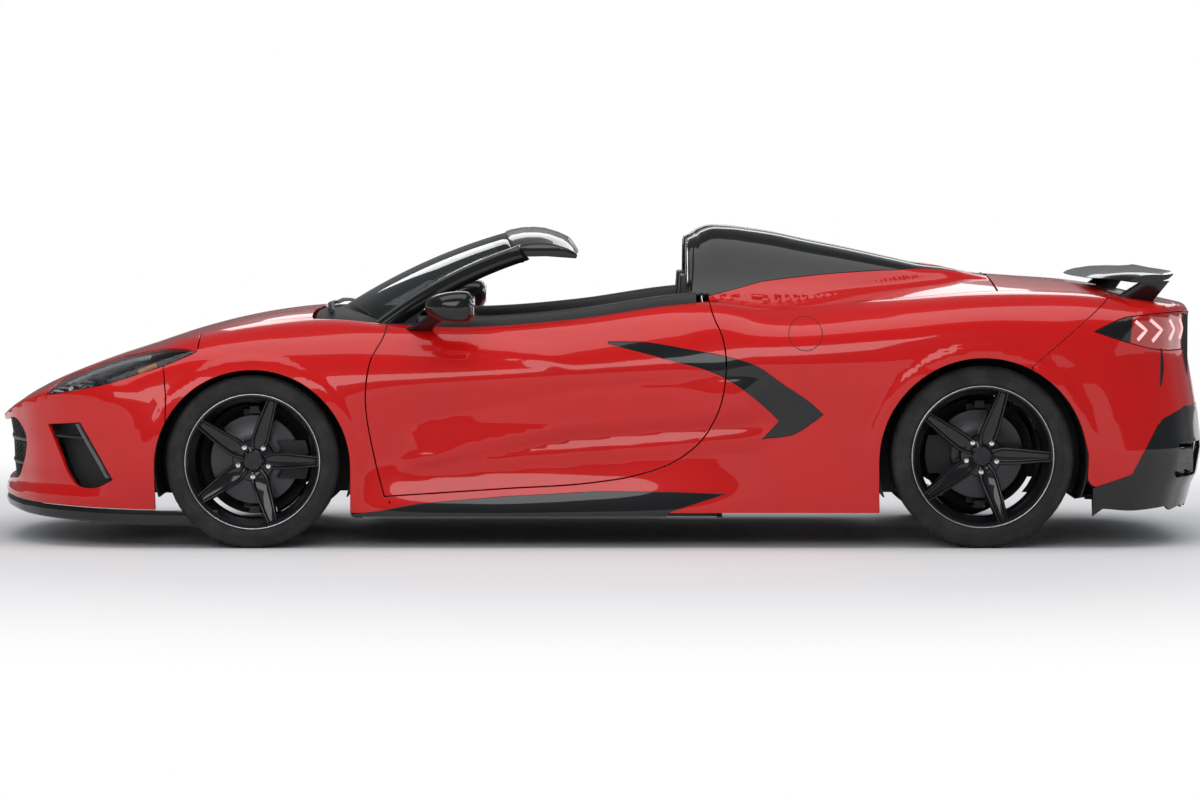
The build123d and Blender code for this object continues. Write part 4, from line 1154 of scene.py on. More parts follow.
def tail_points(outline):
    outline = np.asarray(outline, float)
    origins = np.stack([np.full(len(outline), 1700.0), outline[:, 0], outline[:, 1]], axis=1)
    return strike(origins, np.tile([1.0, 0.0, 0.0], (len(outline), 1)), 0, 900)


def build_front_bumper():
    def keep(p):
        q = np.abs(p) * (-1, 1, 1)
        ahead = np.interp(q[:, 2], [z for _, z in FENDER_FRONT], [x for x, _ in FENDER_FRONT])
        return (
            (p[:, 0] < ahead) & (p[:, 2] > 0) & ~plan_in(HOOD_ROOM, p) & ~side_in(LAMP_ROOM, q)
            & ~(side_in(CORNER_LINE, q) & (q[:, 1] > 620)) & ~side_in(FRONT_ARCH_LINE, q)
            & (q[:, 2] > splitter_top(q[:, 0])) & ~(front_in(MOUTH_LINE, p) & (p[:, 0] < -1990))
        )
    curves = [plan_curve_on(HOOD_ROOM), (nose_points(MOUTH_LINE), True)]
    for side in (1, -1):
        curves += [
            side_curve(line_at(*FENDER_FRONT, (-1512, 800)), side, False), side_curve(LAMP_ROOM, side),
            side_curve(CORNER_LINE, side), side_curve(FRONT_ARCH_LINE[4:], side, False),
        ]
    curves.append((splitter_edge(), False))
    body_panel("front_bumper_skin", NOSE_VIEW, curves, keep, "paint", "body", "front_bumper")


def splitter_top(x):
    return np.interp(x, (-2315, -2180, -1908, -1640), (178, 160, 150, 142))


def splitter_edge():
    """Upper edge of the splitter around the nose, seen level."""
    top = np.array([(-2315, 178), (-2180, 160), (-1908, 150), (-1640, 142)], float)
    out = []
    for az in np.linspace(-1.75, 1.75, 221):
        low, high = 100.0, 1400.0
        way = np.array([-math.cos(az), math.sin(az)])
        for _ in range(30):
            mid = 0.5 * (low + high)
            x, y = -1600 + mid * way[0], mid * way[1]
            z = float(np.interp(x, top[:, 0], top[:, 1]))
            if body_field(np.array([[x, y, z]]))[0] < 0:
                low = mid
            else:
                high = mid
        x, y = -1600 + low * way[0], low * way[1]
        out.append((x, y, float(np.interp(x, top[:, 0], top[:, 1]))))
    return np.array(out)


def build_rear_bumper():
    def keep(p):
        q = np.abs(p) * (1, 1, 1)
        behind = np.interp(q[:, 2], [z for _, z in BUMPER_REAR], [x for x, _ in BUMPER_REAR])
        return (
            (p[:, 0] > behind) & ~plan_in(DECK_ROOM, p) & ~(side_in(TAIL_LAMP_ROOM, q) & (q[:, 1] > 500))
            & ~side_in(REAR_ARCH_LINE, q) & ~side_in(DIFFUSER_LINE, q) & (p[:, 2] > 232) | (
                (p[:, 0] > behind) & plan_in(DECK_ROOM, p) & (p[:, 2] < 872) & (p[:, 2] > 232)
                & ~(side_in(TAIL_LAMP_ROOM, q) & (q[:, 1] > 500)) & ~side_in(DIFFUSER_LINE, q))
        )
    curves = [plan_curve_on(DECK_ROOM), (tail_points([(y, 872) for y in range(-800, 801, 10)]), False),
              (tail_points([(y, 521) for y in range(-940, 941, 10)]), False)]
    for side in (1, -1):
        curves += [
            side_curve(line_at(*BUMPER_REAR), side, False), side_curve(TAIL_LAMP_ROOM, side),
            side_curve(REAR_ARCH_LINE[4:], side, False), side_curve(DIFFUSER_LINE, side),
            (tail_points([(side * 500, z) for z in range(745, 873, 8)]), False),
        ]
    body_panel("rear_bumper_skin", TAIL_VIEW, curves, keep, "paint", "body", "rear_bumper")


def build_decklid():
    curves = [plan_curve_on(DECK_LINE), (tail_points([(y, 878) for y in range(-800, 801, 10)]), False)]
    body_panel("decklid_skin", TopView(), curves, lambda p: plan_in(DECK_LINE, p) & (p[:, 2] > 878),
               "paint", "rear_lid", "decklid")


# stage and camera
CAMERA_PLACE = (-0.007, -19.0, 1.4)
CAMERA_TILT = math.radians(2.68)
CAMERA_LENS = 145.7


def area_light(name, place, aim, size, power, color=(1, 1, 1)):
    light = bpy.data.lights.new(name, "AREA")
    light.shape = "RECTANGLE"
    light.size, light.size_y = size
    light.energy = power
    light.color = color
    lamp = bpy.data.objects.new(name, light)
    lamp.location = place
    lamp.rotation_euler = (Vector(aim) - Vector(place)).to_track_quat("-Z", "Y").to_euler()
    bpy.context.scene.collection.objects.link(lamp)


def fade_to_white(finish):
    """Far from the car the floor turns into the white of the background."""
    nodes, links = finish.material.node_tree.nodes, finish.material.node_tree.links
    spread = finish.add("ShaderNodeVectorMath", {"operation": "LENGTH"}, {0: finish.place}, "Value")
    far = spread.between(2.5, 5.6)
    glow = nodes.new("ShaderNodeEmission")
    glow.inputs["Color"].default_value = (1, 1, 1, 1)
    mix = nodes.new("ShaderNodeMixShader")
    finish.plug(mix.inputs[0], far)
    links.new(nodes["Principled BSDF"].outputs[0], mix.inputs[1])
    links.new(glow.outputs[0], mix.inputs[2])
    links.new(mix.outputs[0], nodes["Material Output"].inputs["Surface"])


def build_stage(sizes):
    size = 60.0
    mesh = bpy.data.meshes.new("floor")
    mesh.from_pydata([(-size, -size, 0), (size, -size, 0), (size, size, 0),
                      (-size, size, 0)], [], [(0, 1, 2, 3)])
    floor = bpy.data.objects.new("floor", mesh)
    bpy.context.scene.collection.objects.link(floor)
    tone = tuple(sizes.floor_color)
    finish = Finish("studio_floor", tone, 0.62, Specular_IOR_Level=0.25)
    finish.set(Roughness=0.58 + 0.08 * finish.noise(2.0))
    fade_to_white(finish)
    mesh.materials.append(finish.material)

    world = bpy.data.worlds.new("studio")
    bpy.context.scene.world = world
    world.use_nodes = True
    tree = world.node_tree
    sky = tree.nodes["Background"]
    sky.inputs["Color"].default_value = (0.92, 0.95, 1.0, 1.0)
    white = tree.nodes.new("ShaderNodeBackground")
    white.inputs["Color"].default_value = (1, 1, 1, 1)
    white.inputs["Strength"].default_value = 1.0
    path = tree.nodes.new("ShaderNodeLightPath")
    mix = tree.nodes.new("ShaderNodeMixShader")
    glossy = tree.nodes.new("ShaderNodeMath")
    glossy.operation = "MULTIPLY_ADD"
    glossy.inputs[1].default_value = -0.72 * sizes.sky_strength
    glossy.inputs[2].default_value = sizes.sky_strength
    tree.links.new(path.outputs["Is Glossy Ray"], glossy.inputs[0])
    tree.links.new(glossy.outputs[0], sky.inputs["Strength"])
    tree.links.new(path.outputs["Is Camera Ray"], mix.inputs[0])
    tree.links.new(sky.outputs[0], mix.inputs[1])
    tree.links.new(white.outputs[0], mix.inputs[2])
    tree.links.new(mix.outputs[0], tree.nodes["World Output"].inputs["Surface"])

    area_light("overhead_softbox", (0.0, -1.5, 6.5), (0, 0, 0.4), (9.0, 5.0), sizes.overhead_power)
    area_light("camera_side_softbox", (-2.5, -9.5, 4.2), (0, 0, 0.5), (8.0, 2.6), sizes.side_power)
    area_light("far_side_softbox", (1.5, 8.5, 4.5), (0, 0, 0.5), (9.0, 2.6), sizes.side_power * 0.7)

    camera = bpy.data.cameras.new("camera")
    camera.lens = CAMERA_LENS
    camera.sensor_width = 36.0
    camera.clip_end = 200.0
    eye = bpy.data.objects.new("camera", camera)
    eye.location = CAMERA_PLACE
    eye.rotation_euler = (math.pi / 2 - CAMERA_TILT, 0, 0)
    bpy.context.scene.collection.objects.link(eye)
    bpy.context.scene.camera = eye
    bpy.context.scene.view_settings.view_transform = "Standard"


# roof cover and its fairings
FAIRING_TOP = (
    (330, 1060), (337, 1118), (363, 1166), (390, 1182), (482, 1190), (574, 1180), (665, 1166), (757, 1146),
    (940, 1109), (1123, 1069), (1215, 1049), (1307, 1037), (1490, 1000),
)
FAIRING_MID = ((330, 345), (500, 350), (600, 350), (760, 345), (940, 335), (1150, 320), (1430, 300))
FAIRING_HALF = (
    (330, 160), (440, 172), (500, 178), (600, 178), (760, 165), (940, 145), (1150, 115), (1300, 90),
    (1430, 60),
)
FAIRING_FOOT = ((330, 938), (404, 940), (495, 961), (579, 984), (790, 1012), (1000, 1024), (1200, 1030),
                (1400, 1022))
FAIRING_V = (-1.75, -1.5, -1.2, -0.72, 0.0, 0.62, 1.15, 1.6, 1.9)
FAIRING_F = (0.0, 0.06, 0.62, 0.95, 1.0, 0.96, 0.72, 0.22, 0.0)
FAIRING_BASE_Z = 935.0
FAIRING_FRONT = 332.0
INBOARD_V = -1.38


def of_table(table, at):
    return hermite([row[0] for row in table], [row[1] for row in table], at)


def fairing_height(p):
    x, y = p[:, 0], np.abs(p[:, 1])
    share = (y - of_table(FAIRING_MID, x)) / of_table(FAIRING_HALF, x)
    rise = of_table(FAIRING_TOP, x) - FAIRING_BASE_Z
    lift = hermite(FAIRING_V, FAIRING_F, share)
    return FAIRING_BASE_Z + rise * lift - 60 * ((share < FAIRING_V[0]) | (share > FAIRING_V[-1]))


def cover_field(p):
    bump = (p[:, 2] - fairing_height(p)) * 0.7
    bump = np.where(p[:, 0] > 1480, 400.0, bump)
    return -soft_max(-body_field(p), -bump, 34.0)


def fairing_outline():
    """Plan of the black part of one fairing."""
    xs = np.arange(FAIRING_FRONT, 1372, 10.0)
    top, foot = of_table(FAIRING_TOP, xs), of_table(FAIRING_FOOT, xs)
    share = np.clip((foot - FAIRING_BASE_Z) / (top - FAIRING_BASE_Z), 0.02, 0.985)
    out_v = np.interp(share, FAIRING_F[:3:-1], FAIRING_V[:3:-1])
    mid, half = of_table(FAIRING_MID, xs), of_table(FAIRING_HALF, xs)
    narrow = np.clip((1372 - xs) / 260, 0, 1)
    outer = np.stack([xs, mid + out_v * half], axis=1)
    inner = np.stack([xs, mid + INBOARD_V * half * narrow], axis=1)[::-1]
    return np.concatenate([outer, inner])


def build_roof_cover():
    outline = fairing_outline()
    room = grow(outline, 0.8)
    mirrored_room = room * (1, -1)

    def red(p):
        q = p * 1.0
        q[:, 1] = np.abs(q[:, 1])
        return plan_in(TONNEAU_LINE, p) & ~plan_in(room, q)

    curves = [plan_curve_on(TONNEAU_LINE, field=cover_field), plan_curve_on(room, field=cover_field),
              plan_curve_on(mirrored_room, field=cover_field)]
    body_panel("roof_cover_skin", TopView(), curves, red, "paint", "roof_cover", "tonneau",
               field=cover_field, step=9)
    for side, label in SIDES:
        line = outline * (1, side)
        body_panel(
            "fairing_" + label, TopView(), [plan_curve_on(line, field=cover_field)],
            lambda p, line=line: plan_in(line, p), "gloss_black", "roof_cover", "tonneau", "gloss_black",
            field=cover_field, step=9, depth=9)
        build_hoop(side, label)


def fairing_section(x, scale=1.0, low=0.0, count=41):
    """Points (y, z) across one fairing at a station, right side."""
    mid = float(of_table(FAIRING_MID, np.array([x]))[0])
    half = float(of_table(FAIRING_HALF, np.array([x]))[0])
    top = float(of_table(FAIRING_TOP, np.array([x]))[0])
    share = np.linspace(INBOARD_V, 1.62, count)
    rise = (top - FAIRING_BASE_Z) * hermite(FAIRING_V, FAIRING_F, share)
    y = mid + share * half * scale
    z = FAIRING_BASE_Z - low + (rise + low) * (1 - (1 - scale) * 0.62)
    return np.stack([y, z], axis=1)


# Wall of the fairing's mouth, in metres
HOOP_WALL = 0.003


def build_hoop(side, label):
    """Open mouth of a fairing: its rounded rim, the recess behind it and a bright edge strip."""
    shape = Shape()
    rings = []
    for x, scale, low in ((352, 0.985, 4), (331, 0.975, 6), (324, 0.945, 6), (326, 0.90, 4),
                          (345, 0.885, 2), (430, 0.84, 0)):
        section = fairing_section(max(x, 345), scale, low)
        rings.append([(x, side * y, z) for y, z in section])
    shape.grid(rings, 0, flip=side > 0)
    back = rings[-1]
    centre = np.mean(np.array(back), axis=0)
    base = len(shape.verts)
    shape.verts.extend(back)
    shape.verts.append(tuple(centre))
    for j in range(len(back) - 1):
        face = (base + j, base + j + 1, base + len(back))
        shape.faces.append(face if side > 0 else face[::-1])
        shape.marks.append(1)
    piece = shaped_piece("fairing_mouth_" + label, shape, "gloss_black carpet", "roof_cover", "tonneau")
    if mean_facing(piece) < 0:
        piece.data.flip_normals()
    modified(piece, "Wall", "SOLIDIFY", thickness=HOOP_WALL, offset=-1)
    strip = Shape()
    outer = np.array([(327, side * (y), z) for y, z in fairing_section(345, 0.955, 4)])[28:]
    rows = [[tuple(p + (dx, 0, dz)) for p in outer] for dx, dz in ((-5, 0), (-5, 4), (1, 4), (1, 0))]
    strip.tube_of([list(column) for column in zip(*rows)], 0)
    make_piece("mouth_strip_" + label, strip.verts, strip.faces, finish_of("silver"), "roof_cover", "tonneau")


def mean_facing(piece):
    """Whether a shell's faces look toward the nose."""
    return -sum(p.normal.x * p.area for p in piece.data.polygons)


# black trim on the panels


def blade_drop(points):
    """The blade dips toward its lower edge behind the door's crease."""
    x, z = points[:, 0], points[:, 2]
    top = np.interp(x, [22, 172, 321, 461, 565, 680, 784, 826], [772, 769, 744, 717, 687, 610, 539, 500])
    low = np.interp(x, [23, 222, 461, 589, 659, 830], [762, 710, 634, 542, 475, 430])
    share = np.clip((top - z) / np.maximum(top - low, 6), 0, 1)
    return 3 + 9 * share * share


def build_side_blades():
    for side, label in SIDES:
        def in_door(q):
            return side_in(DOOR_LINE, q)

        def behind_door(q):
            return ~side_in(DOOR_ROOM, q) & (q[:, 0] > 430)
        for piece, body, node, test in (
                ("door_blade_", "door_assembly_" + label, "door_blade_" + label, in_door),
                ("quarter_blade_", "body", "quarter_intake_blades", behind_door)):
            def keep(p, side=side, test=test):
                q = p * (1, side, 1)
                return (q[:, 1] > 0) & side_in(BLADE_LINE, q) & test(q)
            curves = [side_curve(BLADE_LINE, side),
                      side_curve(DOOR_LINE if test is in_door else DOOR_ROOM, side)]
            body_panel(piece + label, AroundAxis(side), curves, keep, "gloss_black", body, node,
                       "gloss_black", step=8, depth=14, drop=blade_drop)


def build_skirts():
    for side, label in SIDES:
        def keep(p, side=side):
            q = p * (1, side, 1)
            return (q[:, 1] > 0) & side_in(SKIRT_LINE, q)
        curves = [side_curve(SKIRT_LINE, side)]
        body_panel("side_skirt_" + label, AroundAxis(side), curves, keep, "gloss_black", "body",
                   "side_skirts", "gloss_black", step=12, depth=60, lift=2)


# nose trim
def build_splitter():
    """Black lip round the nose: a rising edge with a flat shelf below it."""
    edge = splitter_edge()
    shape = Shape()
    rings = []
    for x, y, z in edge:
        away = np.array([x + 1600, y, 0.0])
        away /= np.linalg.norm(away)
        share = np.clip((x + 2315) / 400, 0, 1)
        drop = 46 + 10 * share
        under = -150 + 128 * share
        profile = (
            (-14, -2), (0, -2), (6 - 4 * share, -12), (8 - 5 * share, -22), (0, -drop + 8), (-14, -drop),
            (under, -drop - 2), (under, -drop + 6), (-18, -drop + 8))
        rings.append([(x + away[0] * a, y + away[1] * a, max(z + b, 84)) for a, b in profile])
    shape.tube_of(rings)
    shaped_piece("front_lip", shape, "gloss_black", "body", "front_splitter", angle=40)


def new_tree(name, inputs):
    """Geometry Nodes tree with a geometry input and output and named inputs."""
    tree = bpy.data.node_groups.new(name, "GeometryNodeTree")
    tree.interface.new_socket("Geometry", in_out="INPUT", socket_type="NodeSocketGeometry")
    for label, kind in inputs:
        tree.interface.new_socket(label, in_out="INPUT", socket_type=kind)
    tree.interface.new_socket("Geometry", in_out="OUTPUT", socket_type="NodeSocketGeometry")
    return tree


def grow_node(tree, kind, values=None, **settings):
    node = tree.nodes.new(kind)
    for key, value in settings.items():
        setattr(node, key, value)
    for key, value in (values or {}).items():
        if isinstance(value, bpy.types.NodeSocket):
            tree.links.new(value, node.inputs[key])
        else:
            node.inputs[key].default_value = value
    return node


def screen_tree():
    tree = bpy.data.node_groups.get("screen_from_edges")
    if tree:
        return tree
    tree = new_tree("screen_from_edges", (("Bar", "NodeSocketFloat"), ("Finish", "NodeSocketMaterial")))
    start = grow_node(tree, "NodeGroupInput")
    line = grow_node(tree, "GeometryNodeMeshToCurve", {0: start.outputs["Geometry"]})
    ring = grow_node(tree, "GeometryNodeCurvePrimitiveCircle",
                     {"Resolution": 4, "Radius": start.outputs["Bar"]})
    rods = grow_node(tree, "GeometryNodeCurveToMesh", {
        "Curve": line.outputs[0], "Profile Curve": ring.outputs[0], "Fill Caps": True})
    real = grow_node(tree, "GeometryNodeRealizeInstances", {0: rods.outputs[0]})
    finished = grow_node(tree, "GeometryNodeSetMaterial",
                         {0: real.outputs[0], "Material": start.outputs["Finish"]})
    end = grow_node(tree, "NodeGroupOutput")
    tree.links.new(finished.outputs[0], end.inputs[0])
    return tree


def run_tree(piece, tree, values):
    """Runs a Geometry Nodes tree on a piece and keeps its result as a plain mesh."""
    mod = piece.modifiers.new("Pattern", "NODES")
    mod.node_group = tree
    for item in tree.interface.items_tree:
        if item.item_type == "SOCKET" and item.in_out == "INPUT" and item.name in values:
            mod[item.identifier] = values[item.name]
    return apply_modifiers(piece)


def hex_lattice(low, high, cell):
    """Edges of a honeycomb over a flat area, as (points, edges)."""
    points, index, edges = [], {}, []
    height = cell * math.sqrt(3) / 2

    def at(x, y):
        key = (round(x * 4), round(y * 4))
        if key not in index:
            index[key] = len(points)
            points.append((x, y))
        return index[key]
    rows = int((high[1] - low[1]) / height) + 2
    columns = int((high[0] - low[0]) / (cell * 1.5)) + 2
    for i in range(columns):
        for j in range(rows):
            cx = low[0] + i * cell * 1.5
            cy = low[1] + j * height * 1 + (height / 2 if i % 2 else 0)
            corners = [at(cx + cell / 1.732 * 0.87 * math.cos(k * math.pi / 3),
                          cy + cell / 1.732 * 0.87 * math.sin(k * math.pi / 3)) for k in range(6)]
            edges.extend((corners[k], corners[(k + 1) % 6]) for k in range(6))
    return np.array(points), edges


def build_grilles():
    """Recesses behind the mouths: dark back skin, honeycomb screen, crossbars and upright blades."""
    inner = 34.0

    def keep(p):
        q = np.abs(p) * (-1, 1, 1)
        mouth = front_in(grow(MOUTH_LINE, 14), p) & (p[:, 0] < -1960)
        corner = side_in(grow(CORNER_LINE, 12), q) & (q[:, 1] > 600)
        return mouth | corner
    curves = [(nose_points(grow(MOUTH_LINE, 14)), True)]
    curves += [side_curve(grow(CORNER_LINE, 12), side) for side in (1, -1)]
    body_panel("grille_recess", NOSE_VIEW, curves, keep, "matte_black", "body", "front_grilles",
               "matte_black", step=24, depth=4, lift=-inner - 20)
    grid, edges = hex_lattice((-660, 225), (660, 462), 22.0)
    flat = np.stack([grid[:, 0], grid[:, 1]], axis=1)
    held = inside(flat, grow(MOUTH_LINE, 6))
    points = nose_points(flat)
    points = points - field_normals(points) * 26
    lattice = [(a, b) for a, b in edges if held[a] and held[b]]
    edge_screen("grille_screen", points, lattice, "body", "front_grilles")
    bars = Shape()
    for z, thick in ((392, 9), (300, 7)):
        rings = []
        for y in np.linspace(-640, 640, 61):
            centre = nose_points([(y, z)])[0] + (30, 0, 0)
            rings.append([tuple(centre + (a, 0, b)) for a, b in ((-7, -thick), (4, -thick), (10, 0),
                                                                 (4, thick), (-7, thick), (-10, 0))])
        bars.tube_of(rings)
    shaped_piece("grille_bars", bars, "satin_black", "body", "front_grilles")
    for side, label in SIDES:
        blade = Shape()
        rings = []
        line = ((-1948, 462), (-1925, 420), (-1895, 368), (-1862, 314), (-1832, 262))
        for x, z in dense(line, 20, False):
            p = onto(SideView(side), [(x - 4, z)])[0]
            rings.append([tuple(p + (a, side * b, 0)) for a, b in ((-16, -26), (2, -26), (6, -4), (-4, 1),
                                                                   (-16, -6))])
        blade.tube_of(rings)
        bar = []
        for x, z in dense(((-2066, 418), (-1925, 412)), 12, False):
            p = onto(SideView(side), [(x, z)])[0]
            bar.append([tuple(p + (0, side * b, c)) for b, c in ((-30, -6), (-12, -6), (-8, 0), (-12, 6),
                                                                 (-30, 6))])
        blade.tube_of(bar, 1)
        shaped_piece("corner_intake_blade_" + label, blade, "edge_grey gloss_black", "body",
                     "front_grilles", angle=40)


def edge_screen(name, points, edges, body, node, bar=0.0016):
    source = bpy.data.meshes.new(name)
    used = sorted({i for edge in edges for i in edge})
    index = {k: n for n, k in enumerate(used)}
    source.from_pydata([tuple(points[k] * MM) for k in used], [(index[a], index[b]) for a, b in edges], [])
    screen = bpy.data.objects.new(name, source)
    bpy.context.scene.collection.objects.link(screen)
    run_tree(screen, screen_tree(), {"Bar": bar, "Finish": finish_of("gloss_black")})
    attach(screen, body)
    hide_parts(node)
    return screen


# Patterns repeated by Geometry Nodes
def repeat_tree():
    """Turns copies of a piece about an axle along Y; the piece sits relative to the axle."""
    tree = bpy.data.node_groups.get("repeat_about_axle")
    if tree:
        return tree
    tree = new_tree("repeat_about_axle", (
        ("Count", "NodeSocketInt"), ("Centre", "NodeSocketVector"), ("Start", "NodeSocketFloat"),
        ("Finish", "NodeSocketMaterial")))
    start = grow_node(tree, "NodeGroupInput")
    points = grow_node(tree, "GeometryNodePoints",
                       {"Count": start.outputs["Count"], "Position": start.outputs["Centre"]})
    index = grow_node(tree, "GeometryNodeInputIndex")
    part = grow_node(tree, "ShaderNodeMath", {0: index.outputs[0], 1: start.outputs["Count"]},
                     operation="DIVIDE")
    turn = grow_node(tree, "ShaderNodeMath", {0: part.outputs[0], 1: math.tau, 2: start.outputs["Start"]},
                     operation="MULTIPLY_ADD")
    angles = grow_node(tree, "ShaderNodeCombineXYZ", {"Y": turn.outputs[0]})
    copies = grow_node(tree, "GeometryNodeInstanceOnPoints", {
        "Points": points.outputs[0], "Instance": start.outputs["Geometry"], "Rotation": angles.outputs[0]})
    real = grow_node(tree, "GeometryNodeRealizeInstances", {0: copies.outputs[0]})
    finished = grow_node(tree, "GeometryNodeSetMaterial",
                         {0: real.outputs[0], "Material": start.outputs["Finish"]})
    end = grow_node(tree, "NodeGroupOutput")
    tree.links.new(finished.outputs[0], end.inputs[0])
    return tree


def repeated(name, shape, count, centre, finish, body, node, start=0.0, smooth_angle=35, edge=0.0):
    """A shape given about the axle (x, y, z from the axle), copied around it."""
    mesh = bpy.data.meshes.new(name)
    mesh.from_pydata([(x * MM, y * MM, z * MM) for x, y, z in shape.verts], [], shape.faces)
    piece = bpy.data.objects.new(name, mesh)
    bpy.context.scene.collection.objects.link(piece)
    finish_normals(piece)
    if edge:
        bevel(piece, edge, 2, 30)
    run_tree(piece, repeat_tree(), {
        "Count": count, "Centre": (centre[0] * MM, 0.0, centre[1] * MM), "Start": start,
        "Finish": finish_of(finish)})
    shade_by_angle(piece, smooth_angle)
    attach(piece, body)
    if node:
        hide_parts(node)
    return piece


# Wheels and tyres
WHEELS = (
    ("front_left", -1303, 324, -824, 241, 216, 324, 245, 774),
    ("front_right", -1303, 324, 824, 241, 216, 324, 245, 774),
    ("rear_left", 1420, 342, -793, 254, 280, 342, 305, 724),
    ("rear_right", 1420, 342, 793, 254, 280, 342, 305, 724),
)
DISC_R = 168
DISC_THICK = 26


def revolved(profile, side, steps=96):
    """Rings about the axle from (radius, y) points."""
    rows = []
    for k in range(steps):
        a = math.tau * k / steps
        rows.append([(r * math.cos(a), side * y, r * math.sin(a)) for r, y in profile])
    return rows


def round_shape(profile, side, steps=96, closed=True):
    shape = Shape()
    shape.grid(revolved(profile, side, steps), close_u=True, close_v=closed)
    return shape


def placed(shape, x, z):
    shape.verts = [(x + a, b, z + c) for a, b, c in shape.verts]
    return shape


def spoke(side, outer, bead):
    """One spoke with two raised ridges and a sunk channel between, from the hub to the lip."""
    rings = []
    for r, half, gap, face, deep in (
            (38, 24, 9, 60, 70), (66, 30, 20, 56, 74), (84, 33, 23, 49, 74), (120, 31, 22, 35, 64),
            (160, 27.5, 19, 22, 56), (200, 23.5, 15.5, 12, 50), (bead - 6, 19.5, 12, 5, 46),
            (bead + 6, 19, 12, 3, 40)):
        f = outer - face
        low = outer - face - deep
        channel = f - (17 if r > 70 else 10)
        t = (-half - 5, -half - 0.5, -half + 1.5, -gap - 2, -gap + 3, gap - 3, gap + 2, half - 1.5,
             half + 0.5, half + 5)
        y = (low, f - 6, f - 0.5, f, channel, channel, f, f - 0.5, f - 6, low)
        rings.append([(r, side * b, a) for a, b in zip(t, y)])
    return Shape().tube_of(rings, flip=side < 0)


def build_wheels():
    for label, x, z, centre, bead, width, tyre_r, tyre_w, seat in WHEELS:
        side = 1 if centre > 0 else -1
        mid = abs(centre)
        outer = mid + width / 2
        body, rim, tyre = "wheel_" + label, "rim_" + label, "tyre_" + label
        barrel = (
            (bead + 13, outer - 3), (bead + 12, outer), (bead + 7, outer), (bead + 2, outer - 3),
            (bead - 1, outer - 9), (bead - 4, outer - 12), (bead - 6, outer - 20), (bead - 22, outer - 60),
            (bead - 24, mid - 40), (bead - 12, mid - width / 2 + 22), (bead - 4, mid - width / 2 + 8),
            (bead - 3, mid - width / 2 + 1), (bead + 12, mid - width / 2 + 1),
            (bead + 13, mid - width / 2 + 5), (bead + 4, mid - width / 2 + 10),
            (bead + 1, mid - width / 2 + 40), (bead - 18, mid - 30), (bead - 16, outer - 58),
            (bead, outer - 22), (bead + 3, outer - 10))
        shaped_piece("barrel_" + label, placed(round_shape(barrel, side), x, z), "rim", body, rim,
                     angle=30)
        lip = ((bead + 12.6, outer - 0.5), (bead + 12.2, outer + 1.1), (bead + 8.6, outer + 1.1),
               (bead + 8, outer - 0.5))
        ring = round_shape(lip, side, 128)
        shaped_piece("lip_" + label, placed(ring, x, z), "silver", body, rim)
        repeated("spokes_" + label, spoke(side, outer, bead - 4), 5, (x, z), "rim", body, rim,
                 start=0.0, edge=1.6)
        hub = (
            (34, seat + 2), (78, seat + 2), (80, outer - 84), (76, outer - 76), (50, outer - 74),
            (37, outer - 70), (36, outer - 58), (33.5, outer - 56), (33.6, seat + 30))
        shape = round_shape(hub, side, 60)
        shaped_piece("hub_" + label, placed(shape, x, z), "rim", body, rim, angle=30)
        cap = ((0.5, outer - 53), (15, outer - 53.5), (24, outer - 56), (27, outer - 60), (32, outer - 62),
               (32, outer - 68), (0.5, outer - 68))
        shape = round_shape(cap, side, 48)
        shaped_piece("cap_" + label, placed(shape, x, z), "gloss_black", body, rim, angle=30)
        nut = Shape()
        rings = []
        for r, y in ((11.5, outer - 76), (11.5, outer - 60), (9, outer - 57), (2, outer - 56.5)):
            rings.append([(60 + r * math.cos(math.tau * k / 12), side * y, r * math.sin(math.tau * k / 12))
                          for k in range(12)])
        nut.tube_of(rings)
        repeated("nuts_" + label, nut, 5, (x, z), "bright", body, rim, start=-math.radians(52))
        disc_face = seat
        disc = (
            (74, disc_face), (102, disc_face), (104, disc_face - 0.8), (DISC_R - 2, disc_face - 0.8),
            (DISC_R, disc_face - 2.5), (DISC_R, disc_face - 9), (DISC_R - 6, disc_face - 9.5),
            (DISC_R - 6, disc_face - 16.5), (DISC_R, disc_face - 17), (DISC_R, disc_face - DISC_THICK + 2),
            (DISC_R - 2, disc_face - DISC_THICK + 0.6), (96, disc_face - DISC_THICK + 0.6),
            (40, disc_face - DISC_THICK + 1), (40, disc_face + 2), (74, disc_face + 2))
        shape = round_shape(disc, side, 96)
        shaped_piece("disc_" + label, placed(shape, x, z), "disc", body, rim, angle=30)
        build_tyre(label, x, z, side, mid, bead, width, tyre_r, tyre_w, body, tyre)
        # Splash shield: a dust shield behind the disc, and also a dark ring that stands in for the shade
        # under the car, so the lit floor does not show through the spokes.
        back = seat - DISC_THICK
        shield = ((152, back - 33), (206, back - 33), (207, back - 30.5), (209, back - 36), (152, back - 36))
        shape = round_shape(shield, side, 72)
        carrier = "steering_knuckle_" + label[6:] if label.startswith("front") else "body"
        shaped_piece("splash_shield_" + label, placed(shape, x, z), "matte_black", carrier, None)


TREAD_BLOCKS = 64


